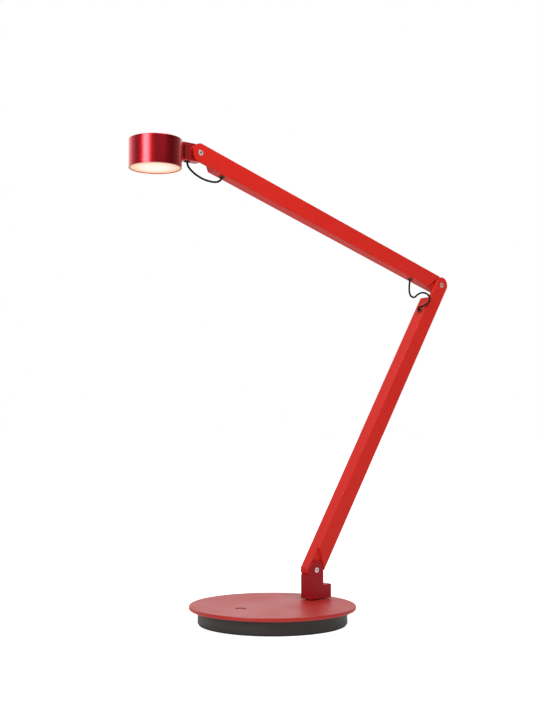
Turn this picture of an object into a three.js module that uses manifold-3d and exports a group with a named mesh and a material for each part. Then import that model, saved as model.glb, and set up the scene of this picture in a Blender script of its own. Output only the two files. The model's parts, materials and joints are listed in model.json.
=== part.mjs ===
// Architect desk lamp: a round weighted base, a swivelling post, two box-section arms and a drum-shaped head.
// Millimetres, +Z up. The origin is the centre of the base's underside. The arms fold in the XZ plane.
// The post stands on the +X side of the base, and the head reaches out over the -X side.
//
// Every joint is a lap joint: an ear on the near (-Y) side of one member covers a tongue on the next member,
// and a countersunk screw with a friction washer and a nut holds the two together.

import * as THREE from 'three';
import { mergeVertices } from 'three/addons/utils/BufferGeometryUtils.js';
import Module from 'manifold-3d';

const wasm = await Module();
wasm.setup();

// ---------------------------------------------------------------- driving dimensions

// Clearances
const GAP = 0.3; // between pieces that touch
const TURN_GAP = 0.8; // between a round end and the pocket that it turns in
const HOLE_GAP = 0.35; // round a screw, a lead or an axle in its hole
const POCKET_GAP = 2; // round the parts that stand in a pocket of the ballast
const JOIN = 0.2; // by which two shapes of one piece run into each other
const PAST = 1; // by which a cutting shape runs past the face that it opens

// Base
const PLATE_RADIUS = 115;
const PLATE_THICKNESS = 5;
const PLATE_EDGE_RADIUS = 1.4;
const PLATE_CHAMFER = 0.5; // along its lower edge
const BASE_HEIGHT = 25.4; // underside of the pad to the top of the plate
const PLATE_OVERHANG = 12;
const HOUSING_WALL = 3;
const PAD_THICKNESS = 1.5;
const PAD_INSET = 1.2;
const COVER_THICKNESS = 2;
const BALLAST_SIDE_GAP = 3;
const LEAD_ROOM = 6.3; // between the ballast and the plate, where the leads run
const BASE_SCREW_RADIUS = 2;
const BASE_SCREW_INSET = 15.7; // from the inside of the housing
const BASE_SCREW_ROOF = 1.5; // metal left over a screw's blind hole in the plate

// Dimmer button and its circuit board
const DIMMER_INSET = 59; // from the plate's rim on the -X side
const DIMMER_RADIUS = 7.5;
const DIMMER_RECESS = 1;
const DIMMER_TRAVEL = 0.8;
const DIMMER_FLANGE = 1.5; // how far its hidden flange stands out, and how thick it is
const DIMMER_NUB_RADIUS = 2;
const DIMMER_EDGE = 0.3;
const SWITCH_WIDTH = 6;
const SWITCH_BODY_HEIGHT = 3.4;
const SWITCH_HEIGHT = 4;
const SWITCH_PLUNGER_RADIUS = 1.7;
const BOARD_LENGTH = 56;
const BOARD_WIDTH = 40;
const BOARD_THICKNESS = 1.6;
const SPACER_HEIGHT = 7.2;
const SPACER_RADIUS = 2.5;
const SPACER_INSET = 4; // from the board's edges

// Power inlet in the back of the housing
const INLET_WIDTH = 11;
const INLET_HEIGHT = 9;
const INLET_DEPTH = 12;
const INLET_SETBACK = 0.5; // behind the housing's outer face
const INLET_BORE_RADIUS = 2.75;
const INLET_PIN_RADIUS = 1;
const INLET_FLOOR = 3; // metal behind the bore

// Arms: a box section whose near wall carries on as the ear
const SECTION_DEPTH = 25;
const LOWER_WIDTH = 21;
const UPPER_WIDTH = 17.5;
const LOWER_LENGTH = 506; // pivot to pivot
const UPPER_LENGTH = 496;
const ARM_WALL = 2;
const ARM_EDGE_RADIUS = 1;
const LOWER_EAR = 4;
const UPPER_EAR = 3.5;
const WASHER_THICKNESS = 0.6; // the friction washer's room between an ear and a tongue
const SHOULDER_ANGLE = 42; // slant of the near wall's start, which clears the ear before it
const SHOULDER_GAP = 0.7;
const LOWER_CUT_ANGLE = 42.6; // slant of the far walls' end, which clears the tongue after it
const UPPER_CUT_ANGLE = 37.2;
const LOWER_CUT_GAP = 3.3;
const UPPER_CUT_GAP = 3;
const TONGUE_SOLID = 36; // length of solid metal at a tongue
const HOLE_TO_EAR = 7; // from a lead's hole to the solid metal at an ear
const SLOT_MIDDLE = 1; // the lead's slot through the lower arm's tongue, from the arm's middle plane
const SLOT_WIDTH = 7;
const SLOT_LOWER_WALL = 3.5; // metal left under the slot
const SLOT_UP = 5; // the slot's upper edge, above the pivot
const SLOT_BOSS_WALL = 2.2; // round the screw's hole where the slot passes it

// Angles of the members from +X towards +Z, at rest
const LOWER_ANGLE = 57.63;
const UPPER_ANGLE = 163.8;
const NECK_ANGLE = 180;

// Post
const POST_INSET = 41; // from the plate's rim on the +X side
const PIVOT_HEIGHT = 67.5;
const POST_LIP = 6.8; // the top of the post's pocket, below the pivot
const HEEL_LENGTH = 15;
const HEEL_DROP = 21.5; // the top of the heel, below the pivot
const SWIVEL_WASHER = 0.8;
const SWIVEL_RADIUS = 5; // outside of the hollow swivel tube
const SWIVEL_ENGAGEMENT = 12;
const SWIVEL_NUT_RADIUS = 8.5;
const SWIVEL_NUT_THICKNESS = 3;
const SWIVEL_THREAD_END = 1; // the tube below its nut
const SWIVEL_WASHER_INSET = 0.8; // from the post's sides
const SPRING_THICKNESS = 1;
const STOP_RADIUS = 15;
const STOP_RING_RADIUS = 10;
const STOP_THICKNESS = 1;
const STOP_TAB_WIDTH = 4;
const STOP_PIN_RADIUS = 1.5;
const STOP_PIN_INSET = 2; // from the tab's end

// Pivot screws
const SCREW_HEAD_RADIUS = 3.75;
const SCREW_RADIUS = 2;
const SCREW_SOCKET_RADIUS = 1.5;
const NUT_RADIUS = 4;
const NUT_THICKNESS = 2.4;
const WASHER_RADIUS = 8;

// Neck and head
const NECK_HALF_HEIGHT = 12;
const NECK_BLOCK_REACH = 23.7; // from the head pivot to the end of the tilting block
const ROLL_GAP = 2.6;
const NECK_EDGE_RADIUS = 1;
const AXLE_RADIUS = 4;
const AXLE_START = 18.5;
const AXLE_COLLAR_RADIUS = 7;
const AXLE_END = 3.4; // the axle past the start of its nut
const ROLL_NUT_THICKNESS = 3;
const ROLL_WASHER_GAP = 1.2; // from the shell's inner side, which is round
const HEAD_REACH = 66.2; // from the head pivot to the axis of the drum
const HEAD_RADIUS = 34.6;
const HEAD_HEIGHT = 38;
const HEAD_WALL = 2;
const HEAD_ABOVE_NECK = 9; // the drum's top, above the neck's axis
const HEAD_CHAMFER = 0.8;
const HEAD_LOWER_CHAMFER = 0.3;
const DIFFUSER_THICKNESS = 2;
const DIFFUSER_RECESS = 0.8;
const SINK_HEIGHT = 0.45; // of the head's height, up to the heat sink's underside
const SINK_THICKNESS = 3.5;
const FIN_COUNT = 5;
const FIN_THICKNESS = 2;
const FIN_PITCH = 8;
const FIN_FAR_GAP = 8.6; // from the fins' other end to the shell
const FIN_TO_LEAD = 6.4; // from the fins' end to the lead, on the neck's side
const FIN_GAP = 1; // under the shell's top
const HEAD_LEAD_INSET = 16.2; // from the drum's side to where the lead comes up to the board
const LED_BOARD_RADIUS = 22;
const LED_CHIP_RADIUS = 9;
const LED_CHIP_THICKNESS = 1.2;
const REFLECTOR_WALL = 0.8;
const REFLECTOR_MOUTH = 1.5; // its small end, round the chip

// Lead
const LEAD_RADIUS = 1.4;
const LEAD_BEND = 5.8;
const LEAD_STRAIGHT = 2.2; // between a bend and the end of a stretch at its hole
const LEAD_SIDES = 8;
const LOWER_HOLE = 58; // the lead's hole in the lower arm, short of the elbow
const UPPER_HOLE_ELBOW = 62; // its hole in the upper arm, past the elbow
const UPPER_HOLE_HEAD = 46.8; // and short of the head pivot
const NECK_HOLE = 15.1; // its hole under the neck, past the head pivot
const GROMMET_FLANGE = 4.2;
const GROMMET_NECK = 3;
const GROMMET_LIP = 1;

// The lead from the power inlet, as offsets from the post's axis, then from the board's edge
const INLET_RUN_PAST_POST = [
  [10.5, 6],
  [8.5, 11],
  [5.5, 17.5],
  [-1, 24.5],
  [-12, 28],
  [-34, 25],
];
const INLET_RUN_TO_BOARD = [
  [38, 16],
  [14, 11],
];

// The free loops of the lead, as points from their pivot, in the base's directions
const ELBOW_LOOP = [
  [-62.4, 0.0, 7.9],
  [-63.2, 0.0, 4.2],
  [-64.0, 0.0, 0.2],
  [-65.0, -0.2, -5.6],
  [-65.6, -0.5, -10.8],
  [-65.4, -0.8, -15.2],
  [-64.4, -1.1, -19.1],
  [-61.8, -1.5, -21.9],
  [-58.3, -2.0, -23.0],
  [-54.6, -2.6, -22.1],
  [-51.2, -3.4, -19.3],
  [-47.2, -4.6, -16.7],
  [-42.4, -6.2, -15.0],
  [-37.4, -8.2, -15.3],
  [-33.6, -10.3, -17.7],
  [-31.7, -12.2, -21.9],
  [-32.9, -13.5, -26.3],
  [-36.5, -14.2, -30.2],
  [-40.7, -13.8, -33.3],
  [-44.7, -12.6, -35.9],
  [-47.4, -9.7, -37.3],
  [-48.3, -6.1, -38.0],
  [-47.3, -2.9, -38.7],
  [-45.5, -0.9, -39.8],
  [-42.9, 0.0, -41.5],
  [-41.0, 0.0, -42.7],
];
const HEAD_LOOP = [
  [-15.1, 2.0, -10.6],
  [-15.1, 2.0, -13.6],
  [-14.2, 2.0, -17.2],
  [-11.9, 1.8, -20.6],
  [-8.4, 1.6, -23.6],
  [-3.8, 1.4, -26.6],
  [1.8, 1.1, -29.4],
  [8.4, 0.8, -31.8],
  [15.6, 0.5, -33.4],
  [22.8, 0.3, -34.1],
  [29.6, 0.1, -33.9],
  [35.4, 0.0, -32.4],
  [39.2, 0.0, -29.8],
  [40.8, 0.0, -27.4],
  [41.6, 0.0, -24.7],
  [42.1, 0.0, -22.9],
];

// ---------------------------------------------------------------- sizes that follow from them

const PLATE_BOTTOM = BASE_HEIGHT - PLATE_THICKNESS;
const HOUSING_RADIUS = PLATE_RADIUS - PLATE_OVERHANG;
const HOUSING_BOTTOM = PAD_THICKNESS + GAP;
const HOUSING_TOP = PLATE_BOTTOM - GAP;
const INSIDE_RADIUS = HOUSING_RADIUS - HOUSING_WALL - GAP;
const POST_REACH = PLATE_RADIUS - POST_INSET; // from the base's centre, towards +X
const DIMMER_REACH = PLATE_RADIUS - DIMMER_INSET; // and towards -X
const BASE_SCREW_CIRCLE = INSIDE_RADIUS - BASE_SCREW_INSET;
const COVER_TOP = HOUSING_BOTTOM + COVER_THICKNESS;
const BALLAST_BOTTOM = COVER_TOP + GAP;
const BALLAST_TOP = PLATE_BOTTOM - LEAD_ROOM;
const BALLAST_RADIUS = INSIDE_RADIUS - BALLAST_SIDE_GAP;
const BOARD_TOP = PLATE_BOTTOM - GAP - SPACER_HEIGHT - GAP;
const BOARD_BOTTOM = BOARD_TOP - BOARD_THICKNESS;
const BOARD_EDGE = BOARD_LENGTH / 2 - DIMMER_REACH;
const INLET_MIDDLE = (COVER_TOP + PLATE_BOTTOM) / 2;
const LEAD_RUN_HEIGHT = (BALLAST_TOP + PLATE_BOTTOM) / 2;

const HALF_DEPTH = SECTION_DEPTH / 2;
const LOWER_NEAR = -LOWER_WIDTH / 2;
const LOWER_FAR = LOWER_WIDTH / 2;
const LOWER_EAR_INNER = LOWER_NEAR + LOWER_EAR;
const TONGUE_NEAR = LOWER_EAR_INNER + WASHER_THICKNESS;
const UPPER_NEAR = -UPPER_WIDTH / 2;
const UPPER_FAR = UPPER_WIDTH / 2;
const UPPER_EAR_INNER = UPPER_NEAR + UPPER_EAR;
const NECK_NEAR = UPPER_EAR_INNER + WASHER_THICKNESS;
const NECK_CENTRE = (NECK_NEAR + UPPER_FAR) / 2;
const POCKET_RADIUS = HALF_DEPTH + TURN_GAP;
const POST_BOTTOM = BASE_HEIGHT + GAP + SWIVEL_WASHER + GAP;
const SWIVEL_TOP = POST_BOTTOM + SWIVEL_ENGAGEMENT;
const BASE_LEAD_END = PIVOT_HEIGHT - POCKET_RADIUS - 4;
const LOWER_LEAD_START = TONGUE_SOLID + 6; // in the arm, just past its tongue
const SLOT_NEAR = SLOT_MIDDLE - SLOT_WIDTH / 2;
const SLOT_FAR = SLOT_MIDDLE + SLOT_WIDTH / 2;
const SLOT_DOWN = HALF_DEPTH - SLOT_LOWER_WALL;
const LEAD_BORE = LEAD_RADIUS + HOLE_GAP;
const SWIVEL_BORE = LEAD_RADIUS + 1;
const WIRE_BORE = SWIVEL_BORE + 0.6;
const DRUM_TOP = HEAD_ABOVE_NECK;
const DRUM_BOTTOM = HEAD_ABOVE_NECK - HEAD_HEIGHT;
const DRUM_INSIDE = HEAD_RADIUS - HEAD_WALL;
const SINK_BOTTOM = DRUM_BOTTOM + HEAD_HEIGHT * SINK_HEIGHT;
const HEAD_LEAD_REACH = HEAD_RADIUS - HEAD_LEAD_INSET; // from the drum's axis
const FIN_END = HEAD_LEAD_REACH - FIN_TO_LEAD;

const radians = (degrees) => (degrees * Math.PI) / 180;

// ---------------------------------------------------------------- materials

const finish = (color, roughness, metalness) => (
  new THREE.MeshStandardMaterial({ color, roughness, metalness })
);
const satinRed = () => finish(0xcf3029, 0.48, 0.0);
const plateRed = () => finish(0xc04038, 0.42, 0.0);
const neckRed = () => finish(0x9c2a30, 0.42, 0.3);
const anodisedRed = () => finish(0x8c0a18, 0.28, 0.85);
const housingGrey = () => finish(0x453f3d, 0.6, 0.1);
const blackRubber = () => finish(0x161616, 0.85, 0.0);
const blackPlastic = () => finish(0x1c1c1c, 0.5, 0.0);
const leadBlack = () => finish(0x0c0c0c, 0.55, 0.0);
const nickel = () => finish(0xc9c5bd, 0.3, 1.0);
const zincSteel = () => finish(0xa9aaa8, 0.4, 0.9);
const nylon = () => finish(0xe6e0d2, 0.6, 0.0);
const bareAluminium = () => finish(0xb8b9bb, 0.45, 0.9);
const boardGreen = () => finish(0x1f4a34, 0.6, 0.0);
const ledYellow = () => finish(0xf0d25a, 0.5, 0.0);
const whitePlastic = () => finish(0xf6f3ea, 0.5, 0.0);
const diffuserWhite = () => finish(0xfff6e2, 0.6, 0.0);
const buttonGrey = () => finish(0xa8848a, 0.5, 0.2);

// ---------------------------------------------------------------- solids

// Turns a closed geometry into a manifold solid, with its faces outwards.
function solid(geometry) {
  const bare = geometry.index ? geometry.clone() : geometry;
  bare.deleteAttribute('normal');
  bare.deleteAttribute('uv');
  const merged = mergeVertices(bare, 1e-4);
  const points = merged.attributes.position;
  const triVerts = new Uint32Array(merged.index.array);
  const corner = [new THREE.Vector3(), new THREE.Vector3(), new THREE.Vector3()];
  let volume = 0;
  for (let i = 0; i < triVerts.length; i += 3) {
    corner.forEach((point, k) => point.fromBufferAttribute(points, triVerts[i + k]));
    volume += corner[0].dot(corner[1].clone().cross(corner[2]));
  }
  if (volume < 0) {
    for (let i = 0; i < triVerts.length; i += 3) {
      [triVerts[i + 1], triVerts[i + 2]] = [triVerts[i + 2], triVerts[i + 1]];
    }
  }
  const vertProperties = new Float32Array(points.array);
  return new wasm.Manifold(new wasm.Mesh({ numProp: 3, vertProperties, triVerts }));
}

// Adds a solid to a group as a named mesh.
function place(group, name, body, material) {
  const mesh = body.getMesh();
  const geometry = new THREE.BufferGeometry();
  geometry.setAttribute('position', new THREE.BufferAttribute(new Float32Array(mesh.vertProperties), 3));
  geometry.setIndex(new THREE.BufferAttribute(new Uint32Array(mesh.triVerts), 1));
  geometry.computeVertexNormals();
  const piece = new THREE.Mesh(geometry, material);
  piece.name = name;
  group.add(piece);
  return piece;
}

function box(x0, x1, y0, y1, z0, z1) {
  const geometry = new THREE.BoxGeometry(x1 - x0, y1 - y0, z1 - z0);
  return solid(geometry.translate((x0 + x1) / 2, (y0 + y1) / 2, (z0 + z1) / 2));
}

function rodX(radius, x0, x1, y, z, sides = 24) {
  const geometry = new THREE.CylinderGeometry(radius, radius, x1 - x0, sides);
  return solid(geometry.rotateZ(-Math.PI / 2).translate((x0 + x1) / 2, y, z));
}

function rodY(radius, y0, y1, x, z, sides = 24) {
  const geometry = new THREE.CylinderGeometry(radius, radius, y1 - y0, sides);
  return solid(geometry.translate(x, (y0 + y1) / 2, z));
}

function rodZ(radius, z0, z1, x, y, sides = 24) {
  const geometry = new THREE.CylinderGeometry(radius, radius, z1 - z0, sides);
  return solid(geometry.rotateX(Math.PI / 2).translate(x, y, (z0 + z1) / 2));
}

// A turned piece about Z, from [radius, height] points that start and end on the axis or close on themselves.
function turned(points, sides) {
  const geometry = new THREE.LatheGeometry(points.map(([r, z]) => new THREE.Vector2(r, z)), sides);
  return solid(geometry.rotateX(Math.PI / 2));
}

function ring(inner, outer, z0, z1, sides) {
  return turned([[inner, z0], [outer, z0], [outer, z1], [inner, z1], [inner, z0]], sides);
}

// An outline in the XZ plane, carried from y0 to y1.
function plateXZ(points, y0, y1) {
  const shape = new THREE.Shape(points.map(([x, z]) => new THREE.Vector2(x, z)));
  const geometry = new THREE.ExtrudeGeometry(shape, { depth: y1 - y0, bevelEnabled: false });
  return solid(geometry.rotateX(Math.PI / 2).translate(0, y1, 0));
}

// A bar along X whose section is a rectangle with rounded corners.
function bar(x0, x1, y0, y1, z0, z1, radius) {
  const shape = new THREE.Shape();
  shape.moveTo(y0 + radius, z0);
  shape.lineTo(y1 - radius, z0);
  shape.absarc(y1 - radius, z0 + radius, radius, -Math.PI / 2, 0, false);
  shape.lineTo(y1, z1 - radius);
  shape.absarc(y1 - radius, z1 - radius, radius, 0, Math.PI / 2, false);
  shape.lineTo(y0 + radius, z1);
  shape.absarc(y0 + radius, z1 - radius, radius, Math.PI / 2, Math.PI, false);
  shape.lineTo(y0, z0 + radius);
  shape.absarc(y0 + radius, z0 + radius, radius, Math.PI, Math.PI * 1.5, false);
  const options = { depth: x1 - x0, bevelEnabled: false, curveSegments: 4 };
  const geometry = new THREE.ExtrudeGeometry(shape, options);
  const alongX = new THREE.Matrix4().makeBasis(
    new THREE.Vector3(0, 1, 0),
    new THREE.Vector3(0, 0, 1),
    new THREE.Vector3(1, 0, 0),
  );
  return solid(geometry.applyMatrix4(alongX).translate(x0, 0, 0));
}

// The round-cornered post stands on end: the same bar, turned so that it runs up Z.
function upright(x0, x1, y0, y1, z0, z1, radius) {
  return bar(z0, z1, y0, y1, -x1, -x0, radius).rotate([0, -90, 0]);
}

// The lead: a tube along a smooth curve through its points, with one step from each point to the next.
function lead(points) {
  const curve = new THREE.CatmullRomCurve3(points.map((p) => new THREE.Vector3(...p)), false, 'centripetal');
  curve.getUtoTmapping = (share) => share;
  const section = new THREE.Shape();
  for (let i = 0; i < LEAD_SIDES; i += 1) {
    const turn = (i / LEAD_SIDES) * 2 * Math.PI;
    const point = [LEAD_RADIUS * Math.cos(turn), LEAD_RADIUS * Math.sin(turn)];
    if (i === 0) {
      section.moveTo(...point);
    } else {
      section.lineTo(...point);
    }
  }
  section.closePath();
  const options = { steps: points.length - 1, extrudePath: curve, bevelEnabled: false };
  return solid(new THREE.ExtrudeGeometry(section, options));
}

// Points of a quarter bend of the lead in the XZ plane, from heading (ax, az) to heading (bx, bz).
function bend(x, z, ax, az, bx, bz, y) {
  return [0, 1, 2, 3].map((i) => {
    const turn = (i / 3) * (Math.PI / 2);
    const along = LEAD_BEND * Math.sin(turn);
    const across = LEAD_BEND * (1 - Math.cos(turn));
    return [x + ax * along + bx * across, y, z + az * along + bz * across];
  });
}

// Where a cut at an angle, which keeps clear of a round of the given radius, crosses the edges of an arm.
function slantedCut(angle, radius) {
  const middle = radius / Math.cos(radians(angle));
  const slope = Math.tan(radians(angle));
  return { at: (height) => middle + slope * height };
}

// How high over its arm's axis a loop of the lead starts or ends.
function handOver(point, angle) {
  return -point[0] * Math.sin(radians(angle)) + point[2] * Math.cos(radians(angle));
}

// ---------------------------------------------------------------- pieces that repeat

// A rubber grommet in a wall that lies across Z, from z0 up to z1, with its bore along Z.
function grommet(group, name, x, y, z0, z1) {
  const body = turned([
    [LEAD_BORE, z0 - GAP - GROMMET_LIP],
    [GROMMET_FLANGE, z0 - GAP - GROMMET_LIP],
    [GROMMET_FLANGE, z0 - GAP],
    [GROMMET_NECK, z0 - GAP],
    [GROMMET_NECK, z1 + GAP],
    [GROMMET_FLANGE, z1 + GAP],
    [GROMMET_FLANGE - GROMMET_LIP / 2, z1 + GAP + GROMMET_LIP],
    [LEAD_BORE, z1 + GAP + GROMMET_LIP],
    [LEAD_BORE, z0 - GAP - GROMMET_LIP],
  ], 24);
  place(group, name, body.translate([x, y, 0]), blackRubber());
}

const grommetHole = (x, y, z0, z1) => rodZ(GROMMET_NECK + GAP, z0, z1, x, y, 24);

// The countersink, the screw's hole through an ear, and the same hole on through the tongue to the nut.
function earHole(x, near, inner) {
  const depth = SCREW_HEAD_RADIUS - SCREW_RADIUS;
  const sink = new THREE.CylinderGeometry(SCREW_RADIUS + GAP, SCREW_HEAD_RADIUS + GAP, depth, 32);
  const seat = solid(sink.translate(x, near + 2 * GAP + depth / 2, 0));
  const mouth = rodY(SCREW_HEAD_RADIUS + GAP, near - PAST, near + 2 * GAP, x, 0);
  const shank = rodY(SCREW_RADIUS + HOLE_GAP, near, inner + PAST, x, 0, 24);
  return seat.add(mouth).add(shank);
}

function tongueHole(near, far) {
  const shank = rodY(SCREW_RADIUS + HOLE_GAP, near - PAST, far - PAST, 0, 0, 24);
  return shank.add(rodY(NUT_RADIUS + HOLE_GAP, far - NUT_THICKNESS - GAP, far + PAST, 0, 0, 6));
}

// The screw, friction washer and nut of one pivot, with the pivot at the group's origin.
function pivotHardware(group, name, near, inner, tongue, far) {
  const flush = near + GAP;
  const headHeight = SCREW_HEAD_RADIUS - SCREW_RADIUS;
  const nutFace = far - NUT_THICKNESS;
  const cone = new THREE.CylinderGeometry(SCREW_RADIUS, SCREW_HEAD_RADIUS, headHeight, 32);
  const head = solid(cone.translate(0, flush + headHeight / 2, 0));
  const shank = rodY(SCREW_RADIUS, flush + headHeight - JOIN, nutFace - GAP, 0, 0, 24);
  const socket = rodY(SCREW_SOCKET_RADIUS, flush - PAST, flush + headHeight * 0.7, 0, 0, 6);
  place(group, `${name}_pivot_screw`, head.add(shank).subtract(socket), nickel());
  const spare = (tongue - inner - GAP) / 2;
  const washer = rodY(WASHER_RADIUS, inner + spare, tongue - spare, 0, 0, 32);
  const washerHole = rodY(SCREW_RADIUS + HOLE_GAP, inner - PAST, tongue + PAST, 0, 0, 24);
  place(group, `${name}_friction_washer`, washer.subtract(washerHole), nylon());
  const nut = rodY(NUT_RADIUS, nutFace, far - GAP, 0, 0, 6);
  place(group, `${name}_pivot_nut`, nut, zincSteel());
}

// A box-section arm along +X from its tongue pivot at the origin to its ear pivot. +Z is the lead's side.
function armBody(arm) {
  const { length, near, far, tongue, earInner, cutAngle, cutGap, lastHole } = arm;
  const edge = HALF_DEPTH + PAST;
  let body = bar(-HALF_DEPTH, length + HALF_DEPTH, near, far, -HALF_DEPTH, HALF_DEPTH, ARM_EDGE_RADIUS);
  const roundEnd = (x, x0, x1) => {
    const square = box(x0, x1, near - PAST, far + PAST, -edge, edge);
    return square.subtract(rodY(HALF_DEPTH, near - 2 * PAST, far + 2 * PAST, x, 0, 40));
  };
  body = body.subtract(roundEnd(0, -SECTION_DEPTH, 0));
  body = body.subtract(roundEnd(length, length, length + SECTION_DEPTH));
  const start = slantedCut(SHOULDER_ANGLE, HALF_DEPTH + SHOULDER_GAP);
  const shoulder = plateXZ([
    [-SECTION_DEPTH, -edge],
    [start.at(-edge), -edge],
    [start.at(edge), edge],
    [-SECTION_DEPTH, edge],
  ], near - PAST, tongue);
  const end = slantedCut(cutAngle, HALF_DEPTH + cutGap);
  const lap = plateXZ([
    [length - end.at(-edge), -edge],
    [length + SECTION_DEPTH, -edge],
    [length + SECTION_DEPTH, edge],
    [length - end.at(edge), edge],
  ], earInner, far + PAST);
  const channel = box(TONGUE_SOLID, lastHole + HOLE_TO_EAR, earInner, far - ARM_WALL,
    -HALF_DEPTH + ARM_WALL, HALF_DEPTH - ARM_WALL);
  body = body.subtract(shoulder).subtract(lap).subtract(channel);
  return body.subtract(tongueHole(tongue, far)).subtract(earHole(length, near, earInner));
}

// ---------------------------------------------------------------- base

const lamp = new THREE.Group();

function buildBase() {
  const rim = [0, 1, 2].map((i) => {
    const turn = (i / 2) * (Math.PI / 2);
    return [
      PLATE_RADIUS - PLATE_EDGE_RADIUS * (1 - Math.cos(turn)),
      BASE_HEIGHT - PLATE_EDGE_RADIUS * (1 - Math.sin(turn)),
    ];
  });
  const disc = turned([
    [0, PLATE_BOTTOM],
    [PLATE_RADIUS - PLATE_CHAMFER, PLATE_BOTTOM],
    [PLATE_RADIUS, PLATE_BOTTOM + PLATE_CHAMFER],
    ...rim,
    [0, BASE_HEIGHT],
  ], 72);
  const below = PLATE_BOTTOM - PAST;
  const above = BASE_HEIGHT + PAST;
  let plate = disc
    .subtract(rodZ(SWIVEL_RADIUS + HOLE_GAP, below, above, POST_REACH, 0))
    .subtract(rodZ(DIMMER_RADIUS, below, above, -DIMMER_REACH, 0, 48));

  const housing = ring(HOUSING_RADIUS - HOUSING_WALL, HOUSING_RADIUS, HOUSING_BOTTOM, HOUSING_TOP, 64);
  const inletHole = box(HOUSING_RADIUS - 3 * HOUSING_WALL, HOUSING_RADIUS + PAST,
    -INLET_WIDTH / 2 - GAP, INLET_WIDTH / 2 + GAP,
    INLET_MIDDLE - INLET_HEIGHT / 2 - GAP, INLET_MIDDLE + INLET_HEIGHT / 2 + GAP);
  place(lamp, 'base_housing', housing.subtract(inletHole), housingGrey());

  let cover = rodZ(INSIDE_RADIUS, HOUSING_BOTTOM, COVER_TOP, 0, 0, 64);
  let ballast = rodZ(BALLAST_RADIUS, BALLAST_BOTTOM, BALLAST_TOP, 0, 0, 72);
  const headBottom = HOUSING_BOTTOM + GAP;
  const headTop = COVER_TOP - GAP - JOIN;
  const tip = BASE_HEIGHT - BASE_SCREW_ROOF;
  [45, 135, 225, 315].map(radians).forEach((angle, i) => {
    const x = BASE_SCREW_CIRCLE * Math.cos(angle);
    const y = BASE_SCREW_CIRCLE * Math.sin(angle);
    const hole = rodZ(BASE_SCREW_RADIUS + HOLE_GAP, HOUSING_BOTTOM - PAST, tip, x, y, 16);
    const sink = rodZ(2 * BASE_SCREW_RADIUS + HOLE_GAP, HOUSING_BOTTOM - PAST, headTop + GAP, x, y, 16);
    plate = plate.subtract(hole);
    ballast = ballast.subtract(hole);
    cover = cover.subtract(hole).subtract(sink);
    const head = rodZ(2 * BASE_SCREW_RADIUS, headBottom, headTop, x, y, 16);
    const shank = rodZ(BASE_SCREW_RADIUS, headBottom + JOIN, tip - GAP, x, y, 16);
    place(lamp, `base_screw_${i + 1}`, head.add(shank), zincSteel());
  });
  place(lamp, 'base_plate', plate, plateRed());
  place(lamp, 'base_cover', cover, zincSteel());

  const pocketBottom = BALLAST_BOTTOM - PAST;
  const pocketTop = BALLAST_TOP + PAST;
  const pocket = (x0, x1, width) => {
    const half = width / 2 + POCKET_GAP;
    return box(x0 - POCKET_GAP, x1 + POCKET_GAP, -half, half, pocketBottom, pocketTop);
  };
  const postPocket = rodZ(STOP_RADIUS + 2 * POCKET_GAP, pocketBottom, pocketTop, POST_REACH, 0, 36);
  const boardPocket = pocket(BOARD_EDGE - BOARD_LENGTH, BOARD_EDGE, BOARD_WIDTH);
  const inletPocket = pocket(HOUSING_RADIUS - HOUSING_WALL - INLET_DEPTH, HOUSING_RADIUS, INLET_WIDTH);
  ballast = ballast.subtract(postPocket).subtract(boardPocket).subtract(inletPocket);
  place(lamp, 'ballast_disc', ballast, zincSteel());
  place(lamp, 'base_pad', rodZ(HOUSING_RADIUS - PAD_INSET, 0, PAD_THICKNESS, 0, 0, 64), blackRubber());

  const socketOuter = HOUSING_RADIUS - INLET_SETBACK;
  const socket = box(socketOuter - INLET_DEPTH, socketOuter, -INLET_WIDTH / 2, INLET_WIDTH / 2,
    INLET_MIDDLE - INLET_HEIGHT / 2, INLET_MIDDLE + INLET_HEIGHT / 2);
  const floor = socketOuter - INLET_DEPTH + INLET_FLOOR;
  const socketBore = rodX(INLET_BORE_RADIUS, floor, socketOuter + PAST, 0, INLET_MIDDLE, 24);
  place(lamp, 'dc_inlet', socket.subtract(socketBore), blackPlastic());
  const pin = rodX(INLET_PIN_RADIUS, floor + GAP, socketOuter - PAST, 0, INLET_MIDDLE, 16);
  place(lamp, 'dc_inlet_pin', pin, nickel());
}

// ---------------------------------------------------------------- dimmer

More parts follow.
